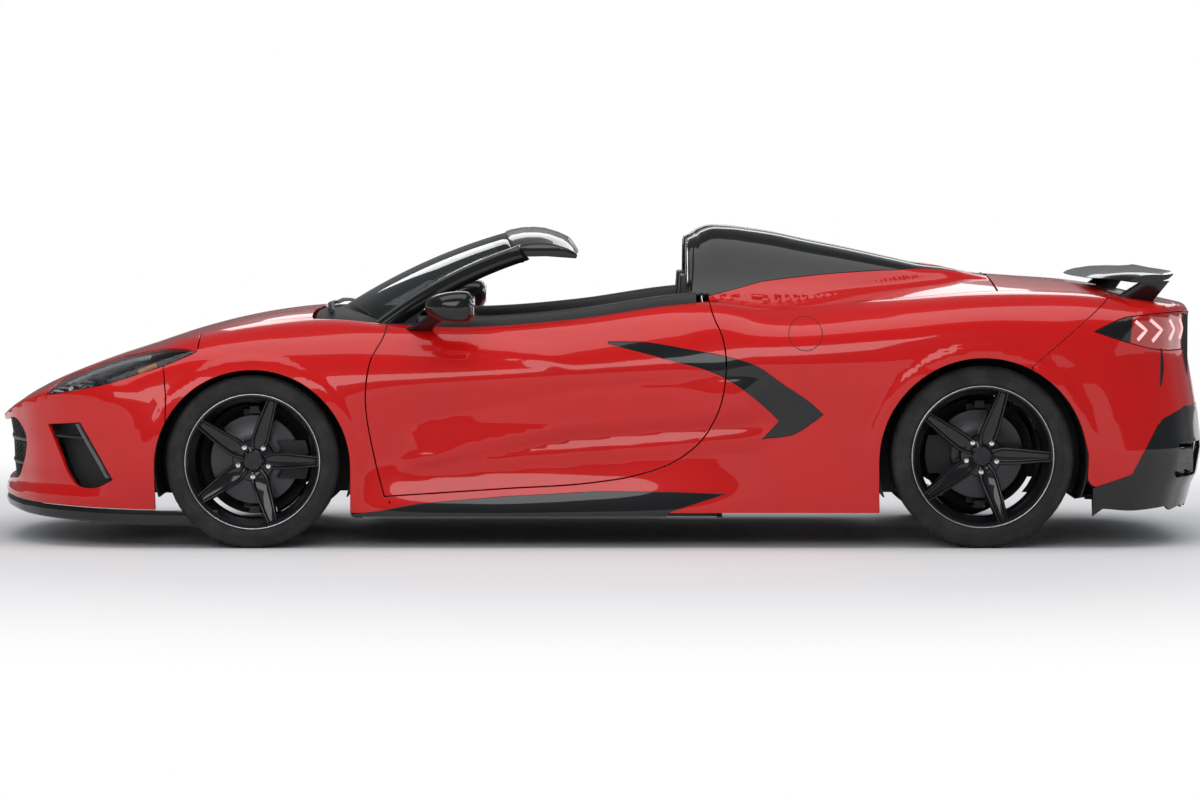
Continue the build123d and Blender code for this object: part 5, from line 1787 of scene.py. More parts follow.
def build_tyre(label, x, z, side, mid, bead, width, tyre_r, tyre_w, body, node):
    half, seat_half = tyre_w / 2, width / 2
    outside = (
        (bead + 3, seat_half - 9), (bead + 13.4, seat_half - 6), (bead + 14, seat_half - 1),
        (bead + 17, seat_half + 4), (bead + 21, seat_half + 8), (bead + 27, half - 4),
        (bead + 38, half - 0.8), (bead + 47, half - 2), (bead + 49, half - 3.2), (bead + 51, half - 2.6),
        (tyre_r - 20, half - 5), (tyre_r - 11, half - 11), (tyre_r - 6.5, half - 20))
    crown = [(tyre_r - 5.6 - 2.2 * (abs(t) ** 3), t * (half - 24)) for t in np.linspace(1, -1, 13)]
    across = list(outside) + crown + [(r, -y) for r, y in reversed(outside)]
    inner = [(bead + 4, -seat_half + 10), (bead + 40, -half + 16), (tyre_r - 20, -half + 30),
             (tyre_r - 20, half - 30), (bead + 40, half - 16), (bead + 4, seat_half - 10)]
    profile = [(r, mid + y) for r, y in across + inner]
    shape = round_shape(profile, side, 120)
    shaped_piece("tyre_shell_" + label, placed(shape, x, z), "rubber", body, node, angle=28)
    pitch = math.tau / TREAD_BLOCKS
    block = Shape()
    land = half - 24
    bands = ((-1.0, -0.60, 0.55), (-0.52, -0.20, -0.35), (-0.12, 0.12, 0.0), (0.20, 0.52, 0.35),
             (0.60, 1.0, -0.55))
    for low, high, slant in bands:
        rings = []
        for share in np.linspace(low, high, 4):
            y = share * land
            base = tyre_r - 8.0 - 2.2 * abs(share) ** 3
            top = tyre_r - 0.3 - 3.0 * abs(share) ** 3
            swing = slant * pitch * 0.5 * (share - low) / (high - low)
            ring = []
            for r, a in ((base, -0.40), (top, -0.38), (top, 0.0), (top, 0.38), (base, 0.40)):
                turn = pitch * a + swing
                ring.append((r * math.sin(turn), side * (mid + y), r * math.cos(turn)))
            rings.append(ring)
        block.tube_of(rings)
    for out in (1, -1):
        rings = []
        for r, y in ((tyre_r - 2.8, land + 1), (tyre_r - 6.0, half - 17), (tyre_r - 12, half - 9.5),
                     (tyre_r - 22, half - 4.2)):
            ring = []
            for dr, a in ((-6, -0.34), (0, -0.32), (0, 0.32), (-6, 0.34)):
                turn = pitch * a + 0.25 * pitch * out
                ring.append(((r + dr) * math.sin(turn), side * (mid + out * (y + 0.2 * dr)),
                             (r + dr) * math.cos(turn)))
            rings.append(ring)
        block.tube_of(rings)
    repeated("tyre_tread_" + label, block, TREAD_BLOCKS, (x, z), "rubber", body, node,
             smooth_angle=20)


# Windshield, its frame and the cowl
BASE_LINE = ((0, -1000, 884), (300, -985, 878), (520, -930, 862), (690, -850, 828))
TOP_LINE = ((0, -372, 1168), (260, -362, 1158), (440, -346, 1138), (556, -330, 1108))


def line_points(line, count):
    at = np.linspace(0, line[-1][0], count)
    ys = [row[0] for row in line]
    return np.stack([hermite(ys, [row[1] for row in line], at), at,
                     hermite(ys, [row[2] for row in line], at)], axis=1)


# Thickness of the glass, in metres
GLASS_THICK = 0.005


def build_windshield():
    low, high = line_points(BASE_LINE, 25), line_points(TOP_LINE, 25)
    rows = []
    for share in np.linspace(0, 1, 21):
        bow = np.array([-0.35, 0, 0.94]) * (26 * 4 * share * (1 - share))
        half = low + (high - low) * share + bow
        rows.append([tuple(p * (1, -1, 1)) for p in half[:0:-1]] + [tuple(p) for p in half])
    shape = Shape()
    shape.grid(rows[:19])
    # The top rows of the glass take a near-black glass: a dark band along the top of the windshield.
    band = len(shape.faces)
    shape.grid(rows[18:], 1)
    marks = [0] * band + [1] * (len(shape.faces) - band)
    piece = make_piece("windshield_glass", shape.verts, shape.faces,
                       [finish_of("glass"), finish_of("dark_band_glass")],
                       "body", "windshield", slots=marks)
    finish_normals(piece)
    modified(piece, "Thickness", "SOLIDIFY", thickness=GLASS_THICK, offset=-1)
    build_windshield_frame(low, high)


def build_windshield_frame(low, high):
    frame = Shape()
    dense_top = line_points(TOP_LINE, 31)
    section = (
        (-6, 1), (10, 9), (60, 19), (110, 21), (150, 17), (200, 2), (230, -12), (238, -22), (233, -34),
        (190, -31), (120, -26), (60, -27), (14, -28), (2, -14))
    rings = [[(x + dx, y, z + dz) for dx, dz in section] for x, y, z in dense_top]
    mirrored_rings = [[(x, -y, z) for x, y, z in ring] for ring in rings[:0:-1]]
    frame.tube_of(mirrored_rings + rings)
    for side in (1, -1):
        pillar = []
        for share in np.linspace(-0.05, 1.04, 18):
            x, y, z = low[-1] + (high[-1] - low[-1]) * share + np.array([-0.35, 0, 0.94]) * (
                26 * 4 * share * (1 - share))
            pillar.append([(x + dx, side * (y + dy), z + dz) for dy, dx, dz in (
                (-13, 6, -8), (-15, 20, -32), (-8, 34, -42), (10, 30, -47), (30, 14, -42), (39, 2, -26),
                (37, -6, -8), (26, -8, 7), (8, -4, 12), (-8, 2, 9))])
        frame.tube_of(pillar, 1)
    piece = shaped_piece("windshield_surround", frame, "gloss_black", "body", "windshield_frame")
    bevel(piece, 2.0, 2, 50)
    shade_by_angle(piece, 40)
    lining = Shape()
    rings = [[(x + dx, y, z + dz) for dx, dz in ((26, -30), (120, -29), (205, -35), (205, -40), (120, -36),
                                                 (26, -36))]
             for x, y, z in dense_top[:29]]
    lining.tube_of([[(x, -y, z) for x, y, z in ring] for ring in rings[:0:-1]] + rings)
    shaped_piece("header_lining", lining, "interior", "body", "windshield_frame")
    mirror_case = Shape()
    rings = []
    for t, wide, tall in ((0, 96, 18), (4, 118, 28), (14, 122, 31), (24, 110, 26), (30, 60, 12)):
        rings.append([(-300 - t, wide * math.cos(a), 1078 + tall * math.sin(a))
                      for a in np.linspace(0, math.tau, 33)[:-1]])
    mirror_case.tube_of(rings)
    stem = [[(-312 - 30 * s + dx, dy, 1085 + 62 * s) for dx, dy in ((-8, -8), (8, -8), (8, 8),
                                                                    (-8, 8))] for s in (0, 1)]
    mirror_case.tube_of(stem)
    shaped_piece("cabin_mirror", mirror_case, "satin_black", "body", None, angle=40)


def build_cowl():
    """Dark panel below the glass with two wipers parked on it."""
    lid_room = grow(HOOD_LINE, 15)

    def keep(p):
        return plan_in(COWL_ROOM, p) & ~plan_in(lid_room, p)
    body_panel("cowl_skin", TopView(), [plan_curve_on(COWL_ROOM), plan_curve_on(lid_room)], keep,
               "matte_black", "body", "cowl_panel", "matte_black", step=18, depth=8, lift=-4)
    blades = Shape()
    for route in (((-1020, -620), (-1052, -200), (-1048, 60)), ((-1036, -40), (-1030, 330), (-985, 610))):
        ways = dense(route, 25, False)
        spine = onto(TopView(), ways) + (0, 0, 13)
        rings = [[tuple(p + (dx, 0, dz)) for dx, dz in ((-9, -3), (9, -5), (7, 3), (0, 9),
                                                        (-7, 4))] for p in spine]
        blades.tube_of(rings)
    shaped_piece("wiper_blades", blades, "satin_black", "body", None, angle=40)


# Mirrors
MIRROR_CASE = (
    (893, -640, -508, 868, 930), (900, -652, -488, 856, 944), (920, -660, -478, 846, 956),
    (955, -656, -475, 842, 961), (990, -640, -480, 844, 958), (1015, -615, -492, 856, 946),
    (1028, -585, -510, 878, 926),
)


# How far ahead of the glass the case is widest
MIRROR_ROUND = 46


def build_mirrors():
    for side, label in SIDES:
        shape = Shape()
        rings = []
        for y, front, back, low, high in MIRROR_CASE:
            mid, tall = (low + high) / 2, (high - low) / 2
            ring = []
            for a in np.linspace(0, math.tau, 41)[:-1]:
                c, s = math.cos(a), math.sin(a)
                reach = MIRROR_ROUND if c > 0 else back - MIRROR_ROUND - front
                power = 0.55 if c > 0 else 1.0
                ring.append((back - MIRROR_ROUND + reach * math.copysign(abs(c) ** power, c), side * y,
                             mid + tall * math.copysign(abs(s) ** 0.8, s)))
            rings.append(ring)
        shape.tube_of(rings, flip=side < 0)
        foot = []
        for share in np.linspace(0, 1, 9):
            y = 798 + 118 * share
            z = 815 + 62 * share ** 1.4
            wide = 48 - 12 * share
            foot.append([(-690 + 85 * share + dx * wide, side * y, z + dz) for dx, dz in (
                (-1, -8), (-0.4, -14), (0.7, -13), (1, -4), (0.8, 8), (-0.3, 11), (-0.9, 3))])
        shape.tube_of(foot, 0, flip=side < 0)
        shaped_piece("mirror_shell_" + label, shape, "gloss_black", "door_assembly_" + label,
                     "door_mirror_" + label, angle=42)
        glass = Shape()
        rings = []
        for grow_by, x in ((0, -476), (-3, -473.4), (-16, -473)):
            ring = []
            for a in np.linspace(0, math.tau, 41)[:-1]:
                c, s = math.cos(a), math.sin(a)
                ring.append((x, side * (957 + (54 + grow_by) * math.copysign(abs(c) ** 0.7, c)),
                             902 + (40 + grow_by) * math.copysign(abs(s) ** 0.7, s)))
            rings.append(ring)
        glass.tube_of(rings)
        shaped_piece("mirror_face_" + label, glass, "mirror", "door_assembly_" + label,
                     "door_mirror_" + label)


# Lamps
DRL_LINE = ((-2060, 590), (-2000, 622), (-1930, 655), (-1850, 684), (-1770, 708), (-1700, 722))


def ribbon(route, wide, high, lift, side, mark, shape):
    """Bar with a flat rectangular section laid along the body's surface."""
    ways = dense(route, 14, False)
    spine = onto(SideView(side), ways)
    normals = field_normals(spine)
    spine = spine + normals * lift
    along = np.gradient(spine, axis=0)
    along /= np.linalg.norm(along, axis=1)[:, None]
    across = np.cross(normals, along)
    rings = []
    for p, n, a in zip(spine, normals, across):
        rings.append([tuple(p + a * u + n * v) for u, v in (
            (-wide, -high), (wide, -high), (wide, high * 0.5), (wide * 0.5, high), (-wide * 0.5, high),
            (-wide, high * 0.5))])
    shape.tube_of(rings, mark)


def build_headlamps():
    for side, label in SIDES:
        def keep(p, side=side):
            q = p * (1, side, 1)
            return (q[:, 1] > 0) & side_in(LAMP_LINE, q)
        curves = [side_curve(LAMP_LINE, side)]
        body_panel("lamp_bowl_" + label, NOSE_VIEW, curves, keep, "gloss_black", "body", "headlamps",
                   "gloss_black", step=12, depth=6, lift=-34)
        body_panel("lamp_cover_" + label, NOSE_VIEW, curves, keep, "lens", "body", "headlamps",
                   "lamp_lens", step=10, depth=2.5, lift=-1, lip=0.5)
        shape = Shape()
        ribbon(DRL_LINE, 6.5, 5, -14, side, 0, shape)
        ribbon([(x, z - 16) for x, z in DRL_LINE[1:]], 3, 4, -20, side, 1, shape)
        for k, x in enumerate((-1905, -1855, -1805)):
            base = (x - 14, 640 + 17 * k), (x + 26, 672 + 15 * k)
            for step in range(5):
                route = [(px + 6 * step, pz - 4.5 * step) for px, pz in base]
                ribbon(route, 1.4, 7, -26, side, 1, shape)
        ribbon(((-1735, 668), (-1668, 696)), 9, 5, -16, side, 2, shape)
        shaped_piece("lamp_optics_" + label, shape, "drl silver amber", "body", "headlamps",
                     angle=35)


CHEVRONS = (
    ((1990, 846), (2032, 812), (1998, 776)), ((2050, 850), (2096, 812), (2058, 770)),
    ((2110, 850), (2150, 812), (2116, 770)),
)


def build_tail_lamps():
    for side, label in SIDES:
        def held(p, side=side):
            q = p * (1, side, 1)
            return (q[:, 1] > 505) & side_in(TAIL_LAMP_LINE, q)

        def black(p, held=held):
            return held(p) & (p[:, 0] < 1968 + (p[:, 2] - 750) * 0.12)

        def red(p, held=held):
            return held(p) & (p[:, 0] >= 1968 + (p[:, 2] - 750) * 0.12)
        split = line_at((1966, 735), (1982, 885))
        inner_edge = (tail_points([(side * 505, z) for z in range(740, 880, 8)]), False)
        curves = [side_curve(TAIL_LAMP_LINE, side), side_curve(split, side, False), inner_edge]
        body_panel("tail_lamp_fore_" + label, TAIL_VIEW, curves, black, "gloss_black", "body", "tail_lamps",
                   "gloss_black", step=12, depth=12)
        body_panel("tail_lamp_bowl_" + label, TAIL_VIEW, curves, red, "gloss_black", "body", "tail_lamps",
                   "gloss_black", step=14, depth=8, lift=-26)
        body_panel("tail_lens_" + label, TAIL_VIEW, curves, red, "tail_red", "body", "tail_lamps",
                   "tail_lens", step=11, depth=9, lift=-2, drop=lens_steps)
        shape = Shape()
        for line in CHEVRONS:
            if max(x for x, _ in line) < 2120:
                ribbon(line, 6, 4, 0.5, side, 0, shape)
        for y in (560, 650, 740):
            ways = ((y + 38, 846), (y, 812), (y + 34, 774))
            spine = tail_points([(side * a, b) for a, b in dense(ways, 12, False)])
            normals = field_normals(spine)
            along = np.gradient(spine, axis=0)
            along /= np.linalg.norm(along, axis=1)[:, None]
            across = np.cross(normals, along)
            rings = [[tuple(p + a * u + n * v) for u, v in ((-6, -4), (6, -4), (6, 3), (-6, 3))]
                     for p, n, a in zip(spine, normals, across)]
            shape.tube_of(rings)
        shaped_piece("tail_chevrons_" + label, shape, "tail_bright", "body", "tail_lamps",
                     angle=40)


def lens_steps(points):
    """Moulded steps of the rear lens."""
    return 1.2 + 1.2 * np.cos((points[:, 0] + 0.6 * points[:, 2]) / 9.0)


# Raised rear spoiler, exhaust tips and diffuser
SPOILER_ROWS = (
    (0, 1830, 312, 1000), (300, 1836, 306, 1001), (520, 1862, 280, 1001), (700, 1935, 210, 998),
    (760, 1985, 160, 992),
)
WING = (
    (0.0, 0.0), (0.04, 8), (0.14, 17), (0.32, 24), (0.55, 26), (0.78, 25), (0.94, 27), (1.0, 30), (1.0, 24),
    (0.9, 10), (0.7, -1), (0.45, -5), (0.2, -5), (0.05, -4),
)


def build_spoiler():
    ys = [row[0] for row in SPOILER_ROWS]
    shape = Shape()
    rings = []
    for y in np.linspace(-760, 760, 77):
        at = np.array([abs(y)])
        x = float(hermite(ys, [row[1] for row in SPOILER_ROWS], at)[0])
        chord = float(hermite(ys, [row[2] for row in SPOILER_ROWS], at)[0])
        z = float(hermite(ys, [row[3] for row in SPOILER_ROWS], at)[0])
        rings.append([(x + chord * u, y, z + v) for u, v in WING])
    shape.tube_of(rings)
    for side in (1, -1):
        rows = []
        for share in np.linspace(0, 1, 9):
            swing = share ** 1.5
            front = 1908 + 118 * share
            back = 2050 + 84 * share
            y0, y1 = 672 + 66 * swing, 720 + 40 * share
            z = 898 + 96 * share
            ring = []
            for a in np.linspace(0, math.tau, 25)[:-1]:
                c, s = math.cos(a), math.sin(a)
                ring.append(((front + back) / 2 + (back - front) / 2 * c,
                             side * ((y0 + y1) / 2 + (y1 - y0) / 2 * s * (
                    1 - 0.35 * c)), z - 16 * (1 - share) * c))
            rows.append(ring)
        shape.tube_of(rows)
    shaped_piece("spoiler_skin", shape, "gloss_black", "rear_lid", "spoiler", angle=38)


TIPS = (
    ((560, 268), (660, 268), (672, 372), (560, 372), 2030,
     2236), ((676, 268), (760, 268), (788, 372), (688, 372), 2030, 2190),
)


def rounded_ring(corners, shrink, count=8):
    """Corners of a quadrilateral rounded into arcs, moved inward by an amount."""
    centre = np.mean(np.array(corners, float), axis=0)
    points = []
    n = len(corners)
    for i, corner in enumerate(np.array(corners, float)):
        before, after = np.array(corners[i - 1], float), np.array(corners[(i + 1) % n], float)
        a = corner + (before - corner) / np.linalg.norm(before - corner) * 18
        b = corner + (after - corner) / np.linalg.norm(after - corner) * 18
        for t in np.linspace(0, 1, count):
            p = (1 - t) ** 2 * a + 2 * t * (1 - t) * corner + t * t * b
            points.append(p)
    out = np.array(points)
    ways = out - centre
    size = np.linalg.norm(ways, axis=1)[:, None]
    return out - ways / size * shrink


def build_exhausts():
    shape = Shape()
    for *corners, front, back in TIPS:
        rings = []
        for shrink, x in ((1.5, front), (0, back - 6), (0.6, back - 1.5), (2, back), (4.5, back - 1),
                          (5.5, back - 6), (8, back - 60), (9, front + 10)):
            rings.append([(x, y, z) for y, z in rounded_ring(corners, shrink)])
        shape.grid(rings, 0, close_v=True)
        shape.tube_of([[(x, y, z) for y, z in rounded_ring(corners, 8.5)]
                       for x in (front + 60, front + 64)], 1)
    shape.mirrored()
    shaped_piece("exhaust_shells", shape, "chrome matte_black", "body", "exhaust_tips",
                 angle=35)


def build_diffuser():
    def keep(p):
        q = np.abs(p)
        pipe = (q[:, 1] > 545) & (q[:, 1] < 800) & (q[:, 2] > 256) & (q[:, 2] < 384)
        return side_in(DIFFUSER_LINE, q) & (p[:, 0] > 1600) & (p[:, 2] > 128) & ~(pipe & (p[:, 0] > 2060))
    curves = [side_curve(DIFFUSER_LINE, side) for side in (1, -1)]
    for side in (1, -1):
        loop = dense(((545, 256), (788, 256), (800, 384), (545, 384)), 12)
        curves.append((tail_points([(side * y, z) for y, z in loop]), True))
    body_panel("diffuser_skin", TAIL_VIEW, curves, keep, "gloss_black", "body", "rear_diffuser",
               "gloss_black", step=18, depth=14, lift=2)
    fins = Shape()
    for y in (-420, -210, 0, 210, 420):
        outline = ((1850, 150), (2080, 142), (2150, 170), (2168, 260), (2120, 262), (1850, 200))
        rings = [[(x, y + dy, z) for x, z in outline] for dy in (-5, 5)]
        fins.tube_of(rings)
    floor = [[(x, y, z) for x, z in ((1800, 158), (2090, 205), (2125, 262), (2118, 270), (2080, 215),
                                     (1800, 168))]
             for y in (-530, 530)]
    fins.tube_of(floor)
    piece = shaped_piece("diffuser_fins", fins, "satin_black", "body", "rear_diffuser")
    bevel(piece, 1.5, 1, 40)
    vents = Shape()
    for side in (1, -1):
        for z0, z1, x0 in ((600, 742, 2088),):
            rows = []
            for z in np.linspace(z0, z1, 15):
                share = (z - z0) / (z1 - z0)
                p = onto(SideView(side), [(x0 + 6 * share, z)])[0]
                n = field_normals(p[None])[0]
                wide = 12 * math.sin(math.pi * (0.08 + 0.84 * share))
                rows.append([tuple(p + np.array([a, 0, 0]) + n * b) for a, b in (
                    (-wide, 0.6), (wide, 0.6), (wide * 0.6, -3), (-wide * 0.6, -3))])
            vents.tube_of(rows)
    shaped_piece("bumper_side_vents", vents, "matte_black", "body", "rear_bumper")


# Cabin: door caps, seats, dash, console, steering wheel
def build_door_caps():
    xs = np.arange(-690, 372, 18.0)
    for side, label in SIDES:
        top = onto(TopView(), [(x, 748.0) for x in xs])
        shape = Shape()
        rings = []
        for x, _, z in top:
            rings.append([(x, side * y, z + dz) for y, dz in (
                (757, -10), (756, 3), (750, 22), (738, 33), (716, 38), (696, 34), (684, 20), (680, -30),
                (684, -95), (700, -150), (712, -150), (706, -60), (735, -14))])
        shape.tube_of(rings)
        shaped_piece("door_cap_" + label, shape, "interior", "door_assembly_" + label, None,
                     angle=45)


SEAT_Y = 376
BACK_FROM = (150, 345)
BACK_TO = (292, 1000)


# Pads: grid cell in metres, pressure inside and frames of simulation
PAD_CELL, PAD_CELL_QUICK = 0.0095, 0.011
PAD_PRESSURE, PAD_FRAMES = 4.0, 20


def pad(name, rows, swell):
    """A crowned pad from rings of points: remeshed, blown up as cloth and capped."""
    shape = Shape().tube_of(rows)
    piece = shaped_piece(name, shape, "leather", "body", "seats")
    modified(piece, "Even", "REMESH", mode="VOXEL", voxel_size=PAD_CELL)
    blow_up(piece, swell)
    modified(piece, "Soft", "SMOOTH", factor=0.5, iterations=6)
    subdivide(piece, 1)
    return piece


def blow_up(piece, swell):
    """Cloth swells the pad from inside; no point moves further than the cap."""
    before = [v.co.copy() for v in piece.data.vertices]
    cloth = piece.modifiers.new("Swell", "CLOTH")
    cloth.settings.use_pressure = True
    cloth.settings.uniform_pressure_force = PAD_PRESSURE
    cloth.settings.effector_weights.gravity = 0.0
    cloth.settings.quality = 4
    scene = bpy.context.scene
    for frame in range(1, PAD_FRAMES + 1):
        scene.frame_set(frame)
    after = piece.evaluated_get(bpy.context.evaluated_depsgraph_get()).data
    moved = [v.co.copy() for v in after.vertices]
    piece.modifiers.remove(cloth)
    for vertex, start, end in zip(piece.data.vertices, before, moved):
        step = end - start
        if step.length > swell:
            step *= swell / step.length
        vertex.co = start + step
    scene.frame_set(1)


def rounded_box(stations, count=24, power=0.42):
    """Rings across a pad: each station gives centre, half width and half height in its own frame."""
    rings = []
    for centre, across, up, wide, tall in stations:
        ring = []
        for a in np.linspace(0, math.tau, count + 1)[:-1]:
            c, s = math.cos(a), math.sin(a)
            u = wide * math.copysign(abs(c) ** power, c)
            v = tall * math.copysign(abs(s) ** power, s)
            ring.append(tuple(np.array(centre) + np.array(across) * u + np.array(up) * v))
        rings.append(ring)
    return rings


def build_seats(sizes):
    swell = sizes.seat_swell
    for side, label in SIDES:
        y = side * SEAT_Y
        cushion = []
        for x, wide, tall, z in ((-318, 120, 20, 292), (-300, 158, 36, 296), (-200, 162, 40, 290),
                                 (0, 160, 38, 284), (100, 156, 36, 286), (132, 140, 22, 290)):
            cushion.append(((x, y, z), (0, 1, 0), (0, 0, 1), wide, tall))
        pad("seat_cushion_" + label, rounded_box(cushion), swell)
        lean = np.array([BACK_TO[0] - BACK_FROM[0], 0, BACK_TO[1] - BACK_FROM[1]], float)
        lean /= np.linalg.norm(lean)
        out = np.array([-lean[2], 0, lean[0]])
        back = []
        for share, wide, tall in ((0.02, 130, 26), (0.07, 160, 40), (0.3, 160, 40), (0.55, 158, 38),
                                  (0.66, 144, 34), (0.70, 118, 22)):
            centre = np.array([BACK_FROM[0] + 66, y, BACK_FROM[1]]) + lean * share * 670
            back.append((tuple(centre), (0, 1, 0), tuple(out), wide, tall))
        pad("seat_back_" + label, rounded_box(back), swell)
        head = []
        for share, wide, tall in ((0.735, 96, 22), (0.77, 122, 36), (0.88, 120, 38), (0.95, 104, 34),
                                  (0.975, 78, 20)):
            centre = np.array([BACK_FROM[0] + 62, y, BACK_FROM[1]]) + lean * share * 670
            head.append((tuple(centre), (0, 1, 0), tuple(out), wide, tall))
        pad("seat_head_" + label, rounded_box(head), swell)
        for wing in (-1, 1):
            name = "%s_%s" % (label, "outer" if wing == side else "inner")
            low = []
            for x, wide, tall, z in ((-292, 22, 34, 318), (-260, 32, 52, 328), (-60, 33, 56, 330),
                                     (60, 32, 56, 334), (110, 24, 40, 338)):
                low.append(((x, y + wing * 206, z), (0, 1, 0), (0, 0, 1), wide, tall))
            pad("seat_bolster_" + name, rounded_box(low), swell * 0.6)
            high = []
            for share, wide, tall in ((0.06, 24, 40), (0.12, 32, 58), (0.4, 31, 62), (0.58, 27, 48),
                                      (0.64, 16, 30)):
                centre = np.array([BACK_FROM[0] + 56, y + wing * 204, BACK_FROM[1]]) + lean * share * 670
                high.append((tuple(centre), (0, 1, 0), tuple(out), wide, tall))
            pad("seat_wing_" + name, rounded_box(high), swell * 0.6)
        shell = Shape()
        outline = [(206, 262), (262, 300), (322, 640), (345, 976), (334, 1008), (300, 1012), (296, 960),
                   (262, 640), (214, 340), (150, 262)]
        shell.tube_of([[(x, y + dy, z) for x, z in outline] for dy in (-172, 172)])
        shell.tube_of([[(x, y + dx * w, z) for x, w, z in ring] for ring, dx in (
            (((-285, 200, 150), (168, 200, 150), (168, 200, 252), (-285, 200, 252)), -1),
            (((-285, 200, 150), (168, 200, 150), (168, 200, 252), (-285, 200, 252)), 1))], 0)
        piece = shaped_piece("seat_shell_" + label, shell, "satin_black", "body", "seats")
        bevel(piece, 9, 3, 35)
        shade_by_angle(piece, 40)
        build_stitching(y, label, lean, out)


def build_stitching(y, label, lean, out):
    """Rows of thread down the back and cushion, one short stitch repeated by Geometry Nodes."""
    start = np.array([BACK_FROM[0] + 66, y, BACK_FROM[1]])
    points = []
    for across in (-96, 96):
        for share in np.linspace(0.10, 0.62, 44):
            points.append(tuple(start + lean * share * 670 + out * 52 + (0, across, 0)))
        for x in np.linspace(-270, 90, 44):
            points.append((x, y + across, 336.0))
    source = bpy.data.meshes.new("stitch_places")
    source.from_pydata([tuple(v * MM for v in p) for p in points], [], [])
    piece = bpy.data.objects.new("seat_stitches_" + label, source)
    bpy.context.scene.collection.objects.link(piece)
    run_tree(piece, stitch_tree(), {"Length": 0.007, "Thickness": 0.0011, "Finish": finish_of("thread")})
    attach(piece, "body")


def stitch_tree():
    tree = bpy.data.node_groups.get("stitches_on_points")
    if tree:
        return tree
    tree = new_tree("stitches_on_points", (
        ("Length", "NodeSocketFloat"), ("Thickness", "NodeSocketFloat"), ("Finish", "NodeSocketMaterial")))
    start = grow_node(tree, "NodeGroupInput")
    points = grow_node(tree, "GeometryNodeMeshToPoints", {"Mesh": start.outputs["Geometry"]})
    size = grow_node(tree, "ShaderNodeCombineXYZ", {
        "X": start.outputs["Thickness"], "Y": start.outputs["Thickness"], "Z": start.outputs["Length"]})
    cube = grow_node(tree, "GeometryNodeMeshCube", {"Size": size.outputs[0]})
    copies = grow_node(tree, "GeometryNodeInstanceOnPoints",
                       {"Points": points.outputs[0], "Instance": cube.outputs[0]})
    real = grow_node(tree, "GeometryNodeRealizeInstances", {0: copies.outputs[0]})
    finished = grow_node(tree, "GeometryNodeSetMaterial",
                         {0: real.outputs[0], "Material": start.outputs["Finish"]})
    end = grow_node(tree, "NodeGroupOutput")
    tree.links.new(finished.outputs[0], end.inputs[0])
    return tree


def build_dash():
    shape = Shape()
    rings = []
    for y in np.linspace(-706, 706, 49):
        sink = 26 * (abs(y) / 706) ** 4
        profile = (
            (-880, 560), (-880, 795 - sink), (-800, 809 - sink), (-700, 810 - sink), (-640, 806 - sink),
            (-600, 795 - sink), (-572, 778 - sink), (-560, 756 - sink), (-566, 738 - sink), (-592, 700),
            (-610, 640), (-640, 560))
        rings.append([(x, y, z) for x, z in profile])
    shape.tube_of(rings)
    hood = []
    for y in np.linspace(-520, -220, 21):
        bow = 1 - ((y + 370) / 150) ** 4
        hood.append([(x, y, 770 + (z - 770) * (0.35 + 0.65 * bow)) for x, z in (
            (-660, 765), (-662, 832), (-590, 846), (-546, 838), (-550, 826), (-590, 832), (-640, 815),
            (-640, 765))])
    shape.tube_of(hood)
    shape.tube_of([[(x, y, z) for x, z in ((-640, 780), (-636, 822), (-628, 822),
                                           (-632, 780))] for y in (-490, -250)], 1)
    screen = [(-560, 762), (-575, 822), (-583, 822), (-570, 762)]
    shape.tube_of([[(x, y, z) for x, z in screen] for y in (-190, 30)], 1)
    console = []
    for x, wide, top in ((-700, 86, 520), (-620, 88, 600), (-560, 88, 560), (-470, 88, 500), (-330, 88, 442),
                         (-100, 90, 438), (150, 90, 434), (300, 88, 420), (326, 70, 380)):
        console.append([(x, a, b) for a, b in (
            (-wide - 20, 302), (-wide - 16, 336), (-wide, 350), (-wide, top - 22), (-wide + 14, top),
            (0, top + 6), (wide - 14, top), (wide, top - 22), (wide, 350), (wide + 16, 336),
            (wide + 20, 302))])
    shape.tube_of(console)
    ridge_rows = []
    for x, y, z in dense3(((-620, 84, 650), (-540, 96, 620), (-430, 104, 545), (-300, 104, 470),
                           (-60, 104, 446))):
        ridge_rows.append([(x, y + a, z + b) for a, b in ((-16, -60), (16, -60), (18, 8), (8, 20), (-8, 20),
                                                          (-18, 8))])
    shape.tube_of(ridge_rows, 2)
    piece = shaped_piece("dash_skin", shape, "interior dial leather", "body", "dashboard")
    bevel(piece, 5, 2, 40)
    shade_by_angle(piece, 42)
    column = Shape()
    axis = np.array([170, 0, 66]) / 182.36
    side = np.array([0, 1.0, 0])
    up = np.cross(axis, side)
    rings = []
    for t, r in ((0, 42), (60, 42), (150, 38), (176, 36)):
        centre = np.array([-640, -370, 640]) + axis * t
        rings.append([tuple(centre + side * r * math.cos(a) + up * r * math.sin(a))
                      for a in np.linspace(0, math.tau, 29)[:-1]])
    for t, r in ((176, 22), (60, 21), (0, 21)):
        centre = np.array([-640, -370, 640]) + axis * t
        rings.append([tuple(centre + side * r * math.cos(a) + up * r * math.sin(a))
                      for a in np.linspace(0, math.tau, 29)[:-1]])
    column.grid(rings, close_v=True)
    shaped_piece("column_shroud", column, "interior", "body", "dashboard", angle=40)


def dense3(points, count=7):
    out = []
    for a, b in zip(points, points[1:]):
        for t in range(count):
            out.append(tuple(np.array(a) + (np.array(b) - np.array(a)) * t / count))
    return out + [points[-1]]


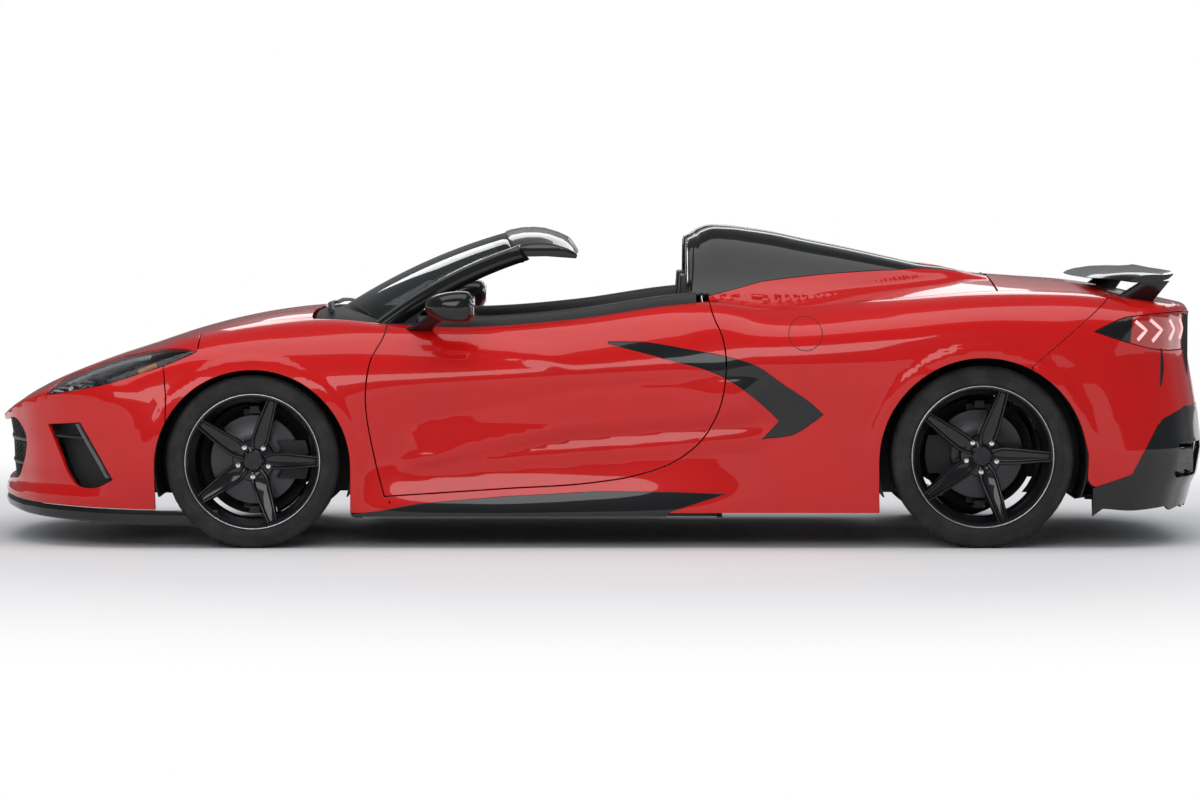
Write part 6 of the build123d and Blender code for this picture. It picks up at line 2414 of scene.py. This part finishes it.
def build_steering():
    centre = np.array([-440, -370, 717.65])
    axis = np.array([170, 0, 66]) / 182.36
    side = np.array([0, 1.0, 0])
    up = np.cross(axis, side)
    up = up if up[2] > 0 else -up

    def at(u, v, w):
        return tuple(centre + side * u + up * v + axis * w)
    shape = Shape()
    rings = []
    for a in np.linspace(0, math.tau, 97)[:-1]:
        flat = 1 - 0.10 * max(0, -math.sin(a) - 0.72) / 0.28
        thick = 15.5 + 1.6 * math.cos(2 * a)
        ring = []
        for b in np.linspace(0, math.tau, 17)[:-1]:
            r = 178 * flat + thick * 0.95 * math.cos(b)
            ring.append(at(r * math.cos(a), r * math.sin(a), thick * math.sin(b)))
        rings.append(ring)
    shape.tube_of(rings, 0, close=True)
    pad_rings = []
    for w, r in ((-20, 44), (-16, 50), (6, 52), (14, 46), (18, 30)):
        pad_rings.append([at(r * 1.12 * math.cos(a), r * math.sin(a), w)
                          for a in np.linspace(0, math.tau, 33)[:-1]])
    shape.tube_of(pad_rings, 0)
    for angle in (math.radians(8), math.radians(172), math.radians(270)):
        c, s = math.cos(angle), math.sin(angle)
        bar = []
        for r, half in ((38, 22), (90, 15), (140, 13), (174, 17)):
            if angle > math.pi and r > 150:
                r = 164
            bar.append([at(r * c - h * s, r * s + h * c, w) for h, w in (
                (-half, -10), (half, -10), (half, 0), (half * 0.6, 4), (-half * 0.6, 4), (-half, 0))])
        shape.tube_of(bar, 1)
    column = []
    for w, r in ((-184, 19.5), (-24, 19.5), (-14, 30)):
        column.append([at(r * math.cos(a), r * math.sin(a), w) for a in np.linspace(0, math.tau, 25)[:-1]])
    shape.tube_of(column, 1)
    shaped_piece("steering_rim", shape, "leather satin_black", "steering", "steering_wheel",
                 angle=40)


def dress_cad():
    """Better finishes on the CAD parts that stay visible, by their slots."""
    finishes = {
        "body_paint": "paint", "gloss_black": "gloss_black", "matte_black": "matte_black",
        "structure": "structure",
        "windshield_glass": "glass", "lamp_lens": "lens", "tail_lens": "tail_red", "tyre_rubber": "rubber",
        "rim_black": "rim", "seat_leather": "leather", "interior": "interior", "engine_metal": "engine",
        "exhaust_metal": "chrome", "suspension_metal": "cast",
    }
    for piece in bpy.data.objects:
        if piece.type != "MESH":
            continue
        for slot in piece.material_slots:
            if slot.material and slot.material.name in finishes:
                slot.material = finish_of(finishes[slot.material.name])


# The add-on's own parts
class CarSizes(bpy.types.PropertyGroup):
    """Sizes, colours and lights that may be changed before the car is built."""
    paint_color: FloatVectorProperty(
        name="Paint", description="Colour of the painted panels", subtype="COLOR", size=3, min=0, max=1,
        default=(0.55, 0.0028, 0.0028))
    floor_color: FloatVectorProperty(
        name="Floor", description="Colour of the studio floor", subtype="COLOR", size=3, min=0, max=1,
        default=(0.80, 0.80, 0.80))
    overhead_power: FloatProperty(
        name="Overhead Light", description="Power of the softbox over the car, in watts", subtype="POWER",
        default=260.0, min=0)
    side_power: FloatProperty(
        name="Side Light", description="Power of the softboxes beside the car, in watts", subtype="POWER",
        default=230.0, min=0)
    sky_strength: FloatProperty(
        name="Sky", description="Strength of the even light from all round", subtype="FACTOR", default=0.55,
        min=0,
        max=2)
    seat_swell: FloatProperty(
        name="Seat Swell", description="How far the padding may swell", subtype="DISTANCE", unit="LENGTH",
        default=0.024, min=0)


class CAR_OT_stage(bpy.types.Operator):
    """Lay the floor and set the studio's lights, background and camera"""
    bl_idname = "car.stage"
    bl_label = "Stage, Lights and Camera"

    def execute(self, context):
        build_stage(context.scene.car_sizes)
        return {"FINISHED"}


class CAR_OT_hood(bpy.types.Operator):
    """Build the skin of the front lid"""
    bl_idname = "car.hood"
    bl_label = "Front Lid"

    def execute(self, context):
        build_hood()
        return {"FINISHED"}


class CAR_OT_fenders(bpy.types.Operator):
    """Build the front fenders of both sides"""
    bl_idname = "car.fenders"
    bl_label = "Front Fenders"

    def execute(self, context):
        build_fenders()
        return {"FINISHED"}


class CAR_OT_doors(bpy.types.Operator):
    """Build the skins of both doors"""
    bl_idname = "car.doors"
    bl_label = "Doors"

    def execute(self, context):
        build_doors()
        return {"FINISHED"}


class CAR_OT_quarters(bpy.types.Operator):
    """Build the rear quarters, the sills and the seam of the fuel flap"""
    bl_idname = "car.quarters"
    bl_label = "Rear Quarters"

    def execute(self, context):
        build_quarters()
        return {"FINISHED"}


class CAR_OT_front_bumper(bpy.types.Operator):
    """Build the skin of the front bumper"""
    bl_idname = "car.front_bumper"
    bl_label = "Front Bumper"

    def execute(self, context):
        build_front_bumper()
        return {"FINISHED"}


class CAR_OT_rear_bumper(bpy.types.Operator):
    """Build the skin of the rear bumper"""
    bl_idname = "car.rear_bumper"
    bl_label = "Rear Bumper"

    def execute(self, context):
        build_rear_bumper()
        return {"FINISHED"}


class CAR_OT_decklid(bpy.types.Operator):
    """Build the skin of the rear lid"""
    bl_idname = "car.decklid"
    bl_label = "Rear Lid"

    def execute(self, context):
        build_decklid()
        return {"FINISHED"}


class CAR_OT_roof_cover(bpy.types.Operator):
    """Build the roof cover with its two fairings"""
    bl_idname = "car.roof_cover"
    bl_label = "Roof Cover"

    def execute(self, context):
        build_roof_cover()
        return {"FINISHED"}


class CAR_OT_side_blades(bpy.types.Operator):
    """Build the black blades at the side intakes"""
    bl_idname = "car.side_blades"
    bl_label = "Side Blades"

    def execute(self, context):
        build_side_blades()
        return {"FINISHED"}


class CAR_OT_skirts(bpy.types.Operator):
    """Build the side skirts"""
    bl_idname = "car.skirts"
    bl_label = "Side Skirts"

    def execute(self, context):
        build_skirts()
        return {"FINISHED"}


class CAR_OT_splitter(bpy.types.Operator):
    """Build the lip under the front bumper"""
    bl_idname = "car.splitter"
    bl_label = "Front Lip"

    def execute(self, context):
        build_splitter()
        return {"FINISHED"}


class CAR_OT_grilles(bpy.types.Operator):
    """Build the grille, its screen and the corner intakes"""
    bl_idname = "car.grilles"
    bl_label = "Grilles"

    def execute(self, context):
        build_grilles()
        return {"FINISHED"}


class CAR_OT_wheels(bpy.types.Operator):
    """Build the rims, discs, nuts and tyres of the four wheels"""
    bl_idname = "car.wheels"
    bl_label = "Wheels and Tyres"

    def execute(self, context):
        build_wheels()
        return {"FINISHED"}


class CAR_OT_windshield(bpy.types.Operator):
    """Build the windshield, its frame and the cabin mirror"""
    bl_idname = "car.windshield"
    bl_label = "Windshield"

    def execute(self, context):
        build_windshield()
        return {"FINISHED"}


class CAR_OT_cowl(bpy.types.Operator):
    """Build the panel below the windshield and its wipers"""
    bl_idname = "car.cowl"
    bl_label = "Cowl"

    def execute(self, context):
        build_cowl()
        return {"FINISHED"}


class CAR_OT_mirrors(bpy.types.Operator):
    """Build the mirrors of both doors"""
    bl_idname = "car.mirrors"
    bl_label = "Door Mirrors"

    def execute(self, context):
        build_mirrors()
        return {"FINISHED"}


class CAR_OT_headlamps(bpy.types.Operator):
    """Build the headlamps with their strips and covers"""
    bl_idname = "car.headlamps"
    bl_label = "Headlamps"

    def execute(self, context):
        build_headlamps()
        return {"FINISHED"}


class CAR_OT_tail_lamps(bpy.types.Operator):
    """Build the tail lamps with their chevrons"""
    bl_idname = "car.tail_lamps"
    bl_label = "Tail Lamps"

    def execute(self, context):
        build_tail_lamps()
        return {"FINISHED"}


class CAR_OT_spoiler(bpy.types.Operator):
    """Build the raised spoiler on the rear lid"""
    bl_idname = "car.spoiler"
    bl_label = "Rear Spoiler"

    def execute(self, context):
        build_spoiler()
        return {"FINISHED"}


class CAR_OT_exhausts(bpy.types.Operator):
    """Build the four exhaust tips"""
    bl_idname = "car.exhausts"
    bl_label = "Exhaust Tips"

    def execute(self, context):
        build_exhausts()
        return {"FINISHED"}


class CAR_OT_diffuser(bpy.types.Operator):
    """Build the diffuser, its fins and the bumper's side vents"""
    bl_idname = "car.diffuser"
    bl_label = "Rear Diffuser"

    def execute(self, context):
        build_diffuser()
        return {"FINISHED"}


class CAR_OT_door_caps(bpy.types.Operator):
    """Build the inner top edges of both doors"""
    bl_idname = "car.door_caps"
    bl_label = "Door Caps"

    def execute(self, context):
        build_door_caps()
        return {"FINISHED"}


class CAR_OT_seats(bpy.types.Operator):
    """Build the padded seats with their shells and stitches"""
    bl_idname = "car.seats"
    bl_label = "Seats"

    def execute(self, context):
        build_seats(context.scene.car_sizes)
        return {"FINISHED"}


class CAR_OT_dash(bpy.types.Operator):
    """Build the dashboard, console and column shroud"""
    bl_idname = "car.dash"
    bl_label = "Dashboard"

    def execute(self, context):
        build_dash()
        return {"FINISHED"}


class CAR_OT_steering(bpy.types.Operator):
    """Build the steering wheel"""
    bl_idname = "car.steering"
    bl_label = "Steering Wheel"

    def execute(self, context):
        build_steering()
        return {"FINISHED"}


class CAR_OT_finishes(bpy.types.Operator):
    """Give the plain parts that stay in view their finishes"""
    bl_idname = "car.finishes"
    bl_label = "Finishes of Plain Parts"

    def execute(self, context):
        dress_cad()
        return {"FINISHED"}


OPERATORS = (
    CAR_OT_stage, CAR_OT_hood, CAR_OT_fenders, CAR_OT_doors, CAR_OT_quarters, CAR_OT_front_bumper,
    CAR_OT_rear_bumper, CAR_OT_decklid, CAR_OT_roof_cover, CAR_OT_side_blades, CAR_OT_skirts,
    CAR_OT_splitter, CAR_OT_grilles, CAR_OT_wheels, CAR_OT_windshield, CAR_OT_cowl, CAR_OT_mirrors,
    CAR_OT_headlamps, CAR_OT_tail_lamps, CAR_OT_spoiler, CAR_OT_exhausts, CAR_OT_diffuser,
    CAR_OT_door_caps, CAR_OT_seats, CAR_OT_dash, CAR_OT_steering, CAR_OT_finishes,
)


class CAR_PT_builder(bpy.types.Panel):
    """Lists the car's sizes and its building steps"""
    bl_label = "Roadster"
    bl_idname = "CAR_PT_builder"
    bl_space_type = "VIEW_3D"
    bl_region_type = "UI"
    bl_category = "Roadster"

    def draw(self, context):
        sizes = context.scene.car_sizes
        column = self.layout.column()
        for name in CarSizes.__annotations__:
            column.prop(sizes, name)
        for step in OPERATORS:
            column.operator(step.bl_idname)


CLASSES = (CarSizes, *OPERATORS, CAR_PT_builder)


def register():
    for item in CLASSES:
        bpy.utils.register_class(item)
    bpy.types.Scene.car_sizes = PointerProperty(type=CarSizes)
    make_finishes(bpy.context.scene.car_sizes)


def unregister():
    del bpy.types.Scene.car_sizes
    for item in reversed(CLASSES):
        bpy.utils.unregister_class(item)


def main():
    register()
    for step in OPERATORS:
        family, name = step.bl_idname.split(".")
        getattr(getattr(bpy.ops, family), name)()


if __name__ == "__main__":
    main()
